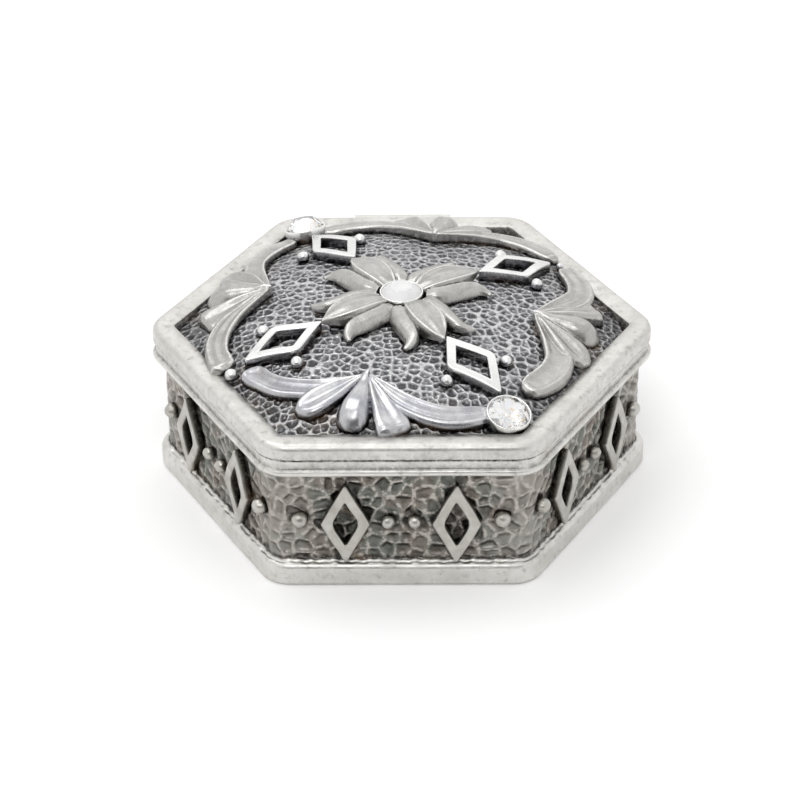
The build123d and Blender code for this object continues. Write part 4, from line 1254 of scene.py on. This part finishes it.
# how far out each lozenge's two tips and its two waists lie, and how far it leans, in degrees
LOZENGES = {name: ((12.4, 24.7), (18.3, 18.3), 0) for name in ("right", "back", "left")}
LOZENGES["front"] = ((12.0, 24.7), (17.4, 18.3), 3)
LOZENGE_HALF_WIDTH = 3.6
LOZENGE_BAR = 1.25
LOZENGE_HEIGHT = 1.45
LOZENGE_EDGE = 0.2
LOZENGE_WAVES = (0.08, 7.0)
LOZENGE_OUTER_RADII = (0.2, 1.6, 0.3, 1.6)
LOZENGE_INNER_RADII = (0.1, 0.35, 0.1, 0.35)
SIDE_LOZENGE_X = 7.3
SIDE_LOZENGE_Z = 9.8
SIDE_LOZENGE_HALF = (3.3, 6.3)
SIDE_LOZENGE_BAR = 1.3
SIDE_LOZENGE_HEIGHT = 1.1
SIDE_LOZENGE_EDGE = 0.25
SIDE_LOZENGE_BELOW = 0.25
SIDE_LOZENGE_WAVES = (0.08, 6.0)
SIDE_LOZENGE_OUTER_RADII = (0.6, 0.25, 0.6, 0.25)
SIDE_LOZENGE_INNER_RADII = (2.0, 0.15, 2.0, 0.15)


def make_lozenge(name):
    """An open lozenge that lies on the plate beyond a flower."""
    (inner_tip, outer_tip), (clockwise, other), lean = LOZENGES[name]
    half = LOZENGE_HALF_WIDTH
    corners = [(inner_tip, 0), (clockwise, -half), (outer_tip, 0), (other, half)]
    middle = np.array([(inner_tip + outer_tip) / 2, 0])
    turn = turning(radians(FLOWERS[name][0] + PATTERN_TURN))
    rings = []
    for plan, rise in frame_rings(corners, LOZENGE_BAR, LOZENGE_OUTER_RADII, LOZENGE_INNER_RADII,
                                  LOZENGE_HEIGHT, LOZENGE_EDGE, SUNK):
        plan = ((plan - middle) @ turning(radians(lean)) + middle) @ turn
        rings.append(np.column_stack([plan, plate_z(np.hypot(*plan.T)) + rise]))
    points, faces = strips(rings, closed_profile=True)
    points = hand_finish(points, *LOZENGE_WAVES, seed=FLOWERS[name][0])
    points[:, 2] = np.minimum(points[:, 2], over_plate(points) + LOZENGE_HEIGHT)
    mesh = mesh_from(f"lozenge_{name}", points, faces)
    above = points[:, 2] - over_plate(points)
    # painted shade darkens the bars towards the plate, and their worn tops carry a painted highlight
    set_layer(mesh, "patina_and_shade", 0.8 * smoothstep(above, LOZENGE_HEIGHT - 0.3, LOZENGE_HEIGHT - 1.0))
    set_layer(mesh, "wear_and_highlight", 0.75 * smoothstep(above, LOZENGE_HEIGHT - 0.35, LOZENGE_HEIGHT - 0.1))
    return piece_from(f"lozenge_{name}", mesh, ["polished_pewter"], "lid", "lid_relief", f"lozenge_{name}")


def wall_frame(side):
    """The middle of a wall's lower edge, and the directions along the wall and outward."""
    angle = radians(270 + 60 * side)
    out = np.array([cos(angle), sin(angle), 0])
    along = np.array([-sin(angle), cos(angle), 0])
    return WALL_APOTHEM * out, along, out


def on_wall(side, across, up, proud):
    """Points in space from how far along a wall, up it and proud of it they lie."""
    start, along, out = wall_frame(side)
    points = start + np.multiply.outer(across, along)
    return points + np.multiply.outer(up, (0, 0, 1)) + np.multiply.outer(proud, out)


def make_side_lozenge(side, letter):
    """An open lozenge on a wall, to the left (a) or the right (b) of the wall's middle."""
    x = SIDE_LOZENGE_X if letter == "b" else -SIDE_LOZENGE_X
    wide, tall = SIDE_LOZENGE_HALF
    corners = [(wide, 0), (0, tall), (-wide, 0), (0, -tall)]
    rings = frame_rings(corners, SIDE_LOZENGE_BAR, SIDE_LOZENGE_OUTER_RADII, SIDE_LOZENGE_INNER_RADII,
                        SIDE_LOZENGE_HEIGHT, SIDE_LOZENGE_EDGE, SIDE_LOZENGE_BELOW)
    points, faces = strips([level_ring(plan, rise) for plan, rise in rings], closed_profile=True)
    flat = hand_finish(points, *SIDE_LOZENGE_WAVES, seed=10 * side + (letter == "b"))
    flat[:, 2] = np.minimum(flat[:, 2], SIDE_LOZENGE_HEIGHT)
    name = f"wall_{side + 1}_lozenge_{letter}"
    mesh = mesh_from(name, on_wall(side, flat[:, 0] + x, flat[:, 1] + SIDE_LOZENGE_Z, flat[:, 2]), faces)
    low, high = SIDE_LOZENGE_HEIGHT - 0.65, SIDE_LOZENGE_HEIGHT - 0.2
    # tarnish and painted shade, darker towards the wall
    set_layer(mesh, "patina_and_shade", 0.9 * smoothstep(flat[:, 2], high, low))
    return piece_from(name, mesh, ["trim_pewter"], "base", "wall_trim", name)


# ---------------------------------------------------------------- beads
# a bead lies on each side of every lozenge, this far out and this far aside
LID_BEAD_RADIUS = 0.9
LID_BEAD_REACH = 19.0
LID_BEAD_SPACE = 4.6
# (reach, angle, radius) of the beads beyond two lozenges
END_BEADS = [(26.4, 211.6, 0.9), (26.3, 32.6, 0.6)]
BEAD_LIFT = 0.35
# (across, up, radius) of the beads on each wall
SIDE_BEADS = [(-13.3, 10.3, 1.15), (-1.75, 9.9, 0.95), (1.75, 9.9, 0.95), (13.3, 10.3, 1.15)]
# the shot's unevenness: its size, its depth, and the noise level at which the surface stays where it is
SHOT_WAVE = 1.3
SHOT_UNEVENNESS = 0.3
SHOT_MEAN = 0.62


def bead_tree():
    """A node tree that sets an uneven shot of metal on every point, as large as its size layer says."""
    tree, given = new_tree("shot_on_points", {"Spots": "Geometry", "Finish": "Material"}, "Shot")
    shot = add(tree, "GeometryNodeMeshIcoSphere", Radius=1.0, Subdivisions=5)
    size = add(tree, "GeometryNodeInputNamedAttribute", {"data_type": "FLOAT"}, Name="size")
    spots = add(tree, "GeometryNodeInstanceOnPoints", Points=given["Spots"], Instance=shot, Scale=size)
    whole = add(tree, "GeometryNodeRealizeInstances", Geometry=spots)
    place = add(tree, "GeometryNodeInputPosition").outputs["Position"]
    wobble = add(tree, "ShaderNodeTexNoise", Vector=place, Scale=per_mm(SHOT_WAVE), Detail=1.5)
    wobble = add(tree, "ShaderNodeMath", MINUS, i0=wobble, i1=SHOT_MEAN)
    wobble = add(tree, "ShaderNodeMath", TIMES, i0=wobble, i1=SHOT_UNEVENNESS * MM)
    normal = add(tree, "GeometryNodeInputNormal").outputs["Normal"]
    push = add(tree, "ShaderNodeVectorMath", STRETCH, i0=normal, Scale=wobble)
    moved = add(tree, "GeometryNodeSetPosition", Geometry=whole, Offset=push)
    finished = add(tree, "GeometryNodeSetMaterial", Geometry=moved, Material=given["Finish"])
    add(tree, "NodeGroupOutput", Shot=finished)
    return tree


def make_beads(name, spots, radii, finish, body, slot, height_of):
    """Beads of these radii at these spots; height_of says how proud of the plate or wall points lie."""
    mesh = bpy.data.meshes.new("spots")
    mesh.from_pydata((np.array(spots) * MM).tolist(), [], [])
    set_layer(mesh, "size", np.array(radii) * MM)
    mesh = with_tree(mesh, bead_tree(), {"Finish": FINISHES[finish]})
    mesh.name = name
    shade_smooth(mesh)
    height = height_of(points_of(mesh))
    # painted shade darkens each bead towards what it sits on; its worn top carries a painted highlight
    set_layer(mesh, "patina_and_shade", smoothstep(height, 0.5, 0.1))
    set_layer(mesh, "wear_and_highlight", 0.8 * smoothstep(height, 0.6, 1.1))
    return piece_from(name, mesh, [finish], body, slot, name)


def on_plate(reach, angle, lift):
    """A point on the plate with the plate's outward direction there, raised along it."""
    step = 0.01
    slope = -(plate_z(reach + step) - plate_z(reach - step)) / (2 * step)
    out = np.array([cos(radians(angle)), sin(radians(angle)), 0])
    normal = out * slope + np.array([0, 0, 1])
    normal /= np.linalg.norm(normal)
    return np.array([*(reach * out[:2]), float(plate_z(reach))]) + normal * lift, normal


def make_lid_beads():
    """The beads on the plate: one on each side of every lozenge, and one beyond two of them."""
    reach = sqrt(LID_BEAD_REACH**2 + LID_BEAD_SPACE**2)
    swing = degrees(atan2(LID_BEAD_SPACE, LID_BEAD_REACH))
    places = []
    for angle, _ in FLOWERS.values():
        places += [(reach, angle + PATTERN_TURN + side * swing, LID_BEAD_RADIUS) for side in (-1, 1)]
    places += END_BEADS
    spots = [on_plate(reach, angle, SOLDER_LINE + BEAD_LIFT)[0] for reach, angle, _ in places]
    radii = [radius for *_, radius in places]
    return make_beads("lid_beads", spots, radii, "polished_pewter", "lid", "lid_relief",
                      lambda points: points[:, 2] - over_plate(points))


def make_side_beads(side):
    """The four beads of a wall."""
    spots = [on_wall(side, x, z, BEAD_LIFT) for x, z, _ in SIDE_BEADS]
    radii = [radius for *_, radius in SIDE_BEADS]
    out = wall_frame(side)[2]
    make_beads(f"wall_{side + 1}_beads", spots, radii, "trim_pewter", "base", "wall_trim",
               lambda points: points @ out - WALL_APOTHEM)


# ---------------------------------------------------------------- stones and their cups
# the stones' cut: facets in each row, crown heights, and how much steeper or flatter than the main facets the
# breaks and stars are, in degrees
STONE_RADIUS = 2.7
STONE_FACETS = 8
STONE_CROWNS = {"centre": 0.95, "front": 1.4, "back": 1.4}
STONE_TABLE_RADIUS = 1.45
STONE_GIRDLE = 0.2
STONE_DEPTH = 0.85
STONE_CULET_RADIUS = 0.6
BREAK_STEEPER = 9.0
STAR_FLATTER = 12.0
BLANK_SEGMENTS = 32
SAME_POINT = 1e-6
CUP_SEGMENTS = 96
CUP_LIP = 0.12
CUP_CLEARANCE = 0.03
CUP_MIDDLE = 0.02


def cup_place(name):
    """The matrix, in millimetres, that sets a cup or its stone square on the plate."""
    if name == "centre":
        spot, normal = np.array([0, 0, CROWN_Z + SOLDER_LINE]), np.array([0, 0, 1.0])
    else:
        spot, normal = on_plate(CORNER_STONE_REACH, CORNER_STONES[name], SOLDER_LINE)
    around = Vector((0, 0, 1)).rotation_difference(Vector(normal)).to_matrix().to_4x4()
    return Matrix.Translation(Vector(spot)) @ around


def girdle_height(name):
    """How high over the plate a stone's widest edge lies, level with its cup's lip."""
    return CENTRE_CUP_HEIGHT if name == "centre" else CORNER_CUP_HEIGHT


def ground(work, count, turn, reach, height, slope):
    """Grinds count flats round the stone, each at this slope in degrees through (reach, height)."""
    for i in range(count):
        a = radians(turn + 360 * i / count)
        lean = radians(slope)
        normal = Vector((sin(lean) * cos(a), sin(lean) * sin(a), cos(lean)))
        spot = Vector((reach * cos(a), reach * sin(a), height))
        whole = work.verts[:] + work.edges[:] + work.faces[:]
        cut = bmesh.ops.bisect_plane(work, geom=whole, dist=SAME_POINT, plane_co=spot, plane_no=normal,
                                     clear_outer=True)
        rim = [e for e in cut["geom_cut"] if isinstance(e, bmesh.types.BMEdge)]
        if rim:
            bmesh.ops.holes_fill(work, edges=rim, sides=0)


def cut_stone(girdle, crown):
    """A round brilliant ground from a blank: mains, breaks and stars above the girdle, mains below it.

    The faces of its back have the second material."""
    low = girdle - STONE_GIRDLE
    half = 180 / STONE_FACETS
    main = degrees(atan2(crown, STONE_RADIUS - STONE_TABLE_RADIUS))
    under = degrees(atan2(STONE_DEPTH, STONE_RADIUS - STONE_CULET_RADIUS))
    work = bmesh.new()
    height = STONE_DEPTH + STONE_GIRDLE + crown
    bmesh.ops.create_cone(work, cap_ends=True, segments=BLANK_SEGMENTS, radius1=STONE_RADIUS,
                          radius2=STONE_RADIUS, depth=height)
    bmesh.ops.translate(work, verts=work.verts, vec=(0, 0, low - STONE_DEPTH + height / 2))
    ground(work, STONE_FACETS, 0, STONE_RADIUS, girdle, main)
    break_reach = STONE_RADIUS * cos(radians(half / 2))
    ground(work, 2 * STONE_FACETS, half / 2, break_reach, girdle, main + BREAK_STEEPER)
    ground(work, STONE_FACETS, half, STONE_TABLE_RADIUS, girdle + crown, main - STAR_FLATTER)
    ground(work, STONE_FACETS, 0, STONE_RADIUS, low, 180 - under)
    bmesh.ops.recalc_face_normals(work, faces=work.faces)
    for face in work.faces:
        face.material_index = int(face.normal.z < -0.1)
    return work


def make_stone(name):
    """A brilliant-cut crystal with a silvered back."""
    work = cut_stone(girdle_height(name), STONE_CROWNS[name])
    work.transform(Matrix.Scale(MM, 4) @ cup_place(name))
    mesh = bpy.data.meshes.new(f"stone_{name}")
    work.to_mesh(mesh)
    work.free()
    backs = [face.material_index for face in mesh.polygons]
    finish = ["cloudy_crystal", "milky_foil"] if name == "centre" else ["cut_crystal", "bright_foil"]
    stone = piece_from(f"stone_{name}", mesh, finish, "lid", "stone", f"stone_{name}")
    stone.data.polygons.foreach_set("material_index", backs)
    return stone


def make_cup(name):
    """A turned cup that holds a stone by its thin lip."""
    girdle = girdle_height(name)
    lip = girdle + CUP_LIP
    seat = girdle - STONE_GIRDLE - STONE_DEPTH
    bore = STONE_RADIUS + CUP_CLEARANCE
    profile = [(CUP_MIDDLE, -SUNK), (CUP_RADIUS - 0.05, -SUNK), (CUP_RADIUS, 0.1), (CUP_RADIUS, lip - 0.1)]
    profile += [(CUP_RADIUS - 0.03, lip - 0.03), (CUP_RADIUS - 0.1, lip)]
    profile += [(bore + 0.04, lip - 0.03), (bore, lip - 0.1)]
    profile += [(bore, seat + 0.1), (bore - 0.1, seat), (CUP_MIDDLE, seat)]
    around = np.linspace(0, 2 * pi, CUP_SEGMENTS, endpoint=False)
    rings = [level_ring(np.column_stack([r * np.cos(around), r * np.sin(around)]), z) for r, z in profile]
    points, faces = strips(rings)
    faces.append(tuple(range(CUP_SEGMENTS))[::-1])
    faces.append(tuple(range(len(points) - CUP_SEGMENTS, len(points))))
    turn = np.array(cup_place(name))
    mesh = mesh_from(f"stone_cup_{name}", points @ turn[:3, :3].T + turn[:3, 3], faces)
    # painted shade darkens the cup's outside towards the plate; its worn upper part carries a painted
    # highlight
    set_layer(mesh, "patina_and_shade", smoothstep(points[:, 2], 0.5, 0.1) * (np.hypot(*points[:, :2].T) > bore + 0.1))
    set_layer(mesh, "wear_and_highlight", smoothstep(points[:, 2], 0.4, 1.0))
    return piece_from(f"stone_cup_{name}", mesh, ["polished_pewter"], "lid", "stone_cup", f"stone_cup_{name}")


# ---------------------------------------------------------------- hinge
LEAF_WEAR = 0.1
WIRE_WEAR = 0.06
# the angles, in degrees, at which faces are joined, shaded as an edge and worn round
FLAT_WITHIN = 1
SHARP_FROM = 35
WORN_FROM = 40


def soften(node, name, finish, body, slot, wear):
    """A copy of a hinge part with its loose triangles joined and its edges worn by this many millimetres."""
    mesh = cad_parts[node].data.copy()
    work = bmesh.new()
    work.from_mesh(mesh)
    bmesh.ops.remove_doubles(work, verts=work.verts, dist=SAME_POINT)
    bmesh.ops.recalc_face_normals(work, faces=work.faces)
    bmesh.ops.dissolve_limit(work, angle_limit=radians(FLAT_WITHIN), verts=work.verts, edges=work.edges)
    work.to_mesh(mesh)
    work.free()
    mesh.name = name
    shade_smooth(mesh)
    mesh.set_sharp_from_angle(angle=radians(SHARP_FROM))
    thing = piece_from(name, mesh, [finish], body, slot, node)
    bevel = thing.modifiers.new("worn_edges", "BEVEL")
    bevel.width = wear * MM
    bevel.segments = 3
    bevel.limit_method = "ANGLE"
    bevel.angle_limit = radians(WORN_FROM)
    return thing


# ---------------------------------------------------------------- floor and light
FLOOR_SIZE = 6000
# name, place, aim, size and power
LAMPS = [
    ("key", (-120, 60, 420), (0, 0, 15), (260, 260), 0.35),
    ("front", (-60, -300, 380), (0, 0, 10), (180, 180), 0.3),
    ("back", (60, 330, 260), (0, 0, 20), (420, 200), 0.1),
]
# name, place, aim, size and shade
DARK_SIDE_OF_ROOM = ("room_side", (0, -520, 150), (0, 0, 10), (700, 420), "#7e7e7e")


def sheet(name, stock, wide, tall, shade, roughness):
    """A flat matt sheet for the stage, facing up, with its middle at the origin; stock names its material."""
    x, y = wide / 2 * MM, tall / 2 * MM
    mesh = bpy.data.meshes.new(name)
    mesh.from_pydata([(-x, -y, 0), (x, -y, 0), (x, y, 0), (-x, y, 0)], [], [(0, 1, 2, 3)])
    thing = in_scene(name, mesh)
    material, _, shader, _ = new_material(stock)
    fill(shader, Base_Color=srgb(shade), Roughness=roughness)
    mesh.materials.append(material)
    return thing


def make_floor():
    # White paper sweep: flat and matt, bright enough to read as plain white.
    sheet("floor", "white_paper", FLOOR_SIZE, FLOOR_SIZE, "#fbfbfb", 0.9)


def stand(thing, place, aim, facing):
    """Stands a lamp or card at a place in millimetres, with the axis of its face towards its aim."""
    spot = Vector(place) * MM
    thing.rotation_euler = (Vector(aim) * MM - spot).to_track_quat(facing, "Y").to_euler()
    thing.location = spot


def soft_box(name, place, aim, size, power):
    """A large lamp with a soft, even face."""
    data = bpy.data.lights.new(name, "AREA")
    data.shape = "RECTANGLE"
    data.size, data.size_y = size[0] * MM, size[1] * MM
    data.energy = power
    stand(in_scene(name, data), place, aim, "-Z")


def make_world():
    """An even white room, at full white where it is seen or mirrored and a little less as a light."""
    world = bpy.data.worlds.new("studio")
    bpy.context.scene.world = world
    world.use_nodes = True
    tree = world.node_tree
    tree.nodes.clear()
    rays = add(tree, "ShaderNodeLightPath").outputs
    seen = add(tree, "ShaderNodeMath", LARGEST, i0=rays["Is Camera Ray"], i1=rays["Is Glossy Ray"])
    seen = add(tree, "ShaderNodeMath", LARGEST, i0=seen, i1=rays["Is Transmission Ray"])
    room = add(tree, "ShaderNodeBackground", Color=srgb("#ffffff"), Strength=0.95)
    white = add(tree, "ShaderNodeBackground", Color=srgb("#ffffff"), Strength=1.0)
    mixed = add(tree, "ShaderNodeMixShader", i0=seen, i1=room, i2=white)
    add(tree, "ShaderNodeOutputWorld", Surface=mixed)
    bpy.context.scene.view_settings.view_transform = "Standard"


def dark_card(name, place, aim, size, shade):
    """A matt grey card out of the camera's sight that gives the metal something darker to reflect."""
    card = sheet(name, "grey_card", *size, shade, 1.0)
    stand(card, place, aim, "Z")
    card.visible_camera = False
    card.visible_shadow = False
    card.visible_diffuse = False


def main():
    make_camera()
    make_world()
    make_floor()
    dark_card(*DARK_SIDE_OF_ROOM)
    for lamp in LAMPS:
        soft_box(*lamp)
    make_base()
    make_rim()
    on_lid = [make_flower(name) for name in FLOWERS]
    on_lid += [make_lozenge(name) for name in FLOWERS]
    on_lid += [make_palmette(name) for name in PALMETTES]
    on_lid.append(make_lid_beads())
    for side in range(SIDES):
        make_side_lozenge(side, "a")
        make_side_lozenge(side, "b")
        make_side_beads(side)
    for name in ("centre", *CORNER_STONES):
        on_lid.append(make_cup(name))
        make_stone(name)
    make_plate(Nearby(on_lid))
    soften("hinge_leaf_base", "hinge_leaf_of_base", "satin_pewter", "base", "hinge_leaf", LEAF_WEAR)
    soften("hinge_leaf_lid", "hinge_leaf_of_lid", "satin_pewter", "lid", "hinge_leaf", LEAF_WEAR)
    soften("hinge_pin", "hinge_wire", "steel_wire", "base", "hinge_pin", WIRE_WEAR)


main()
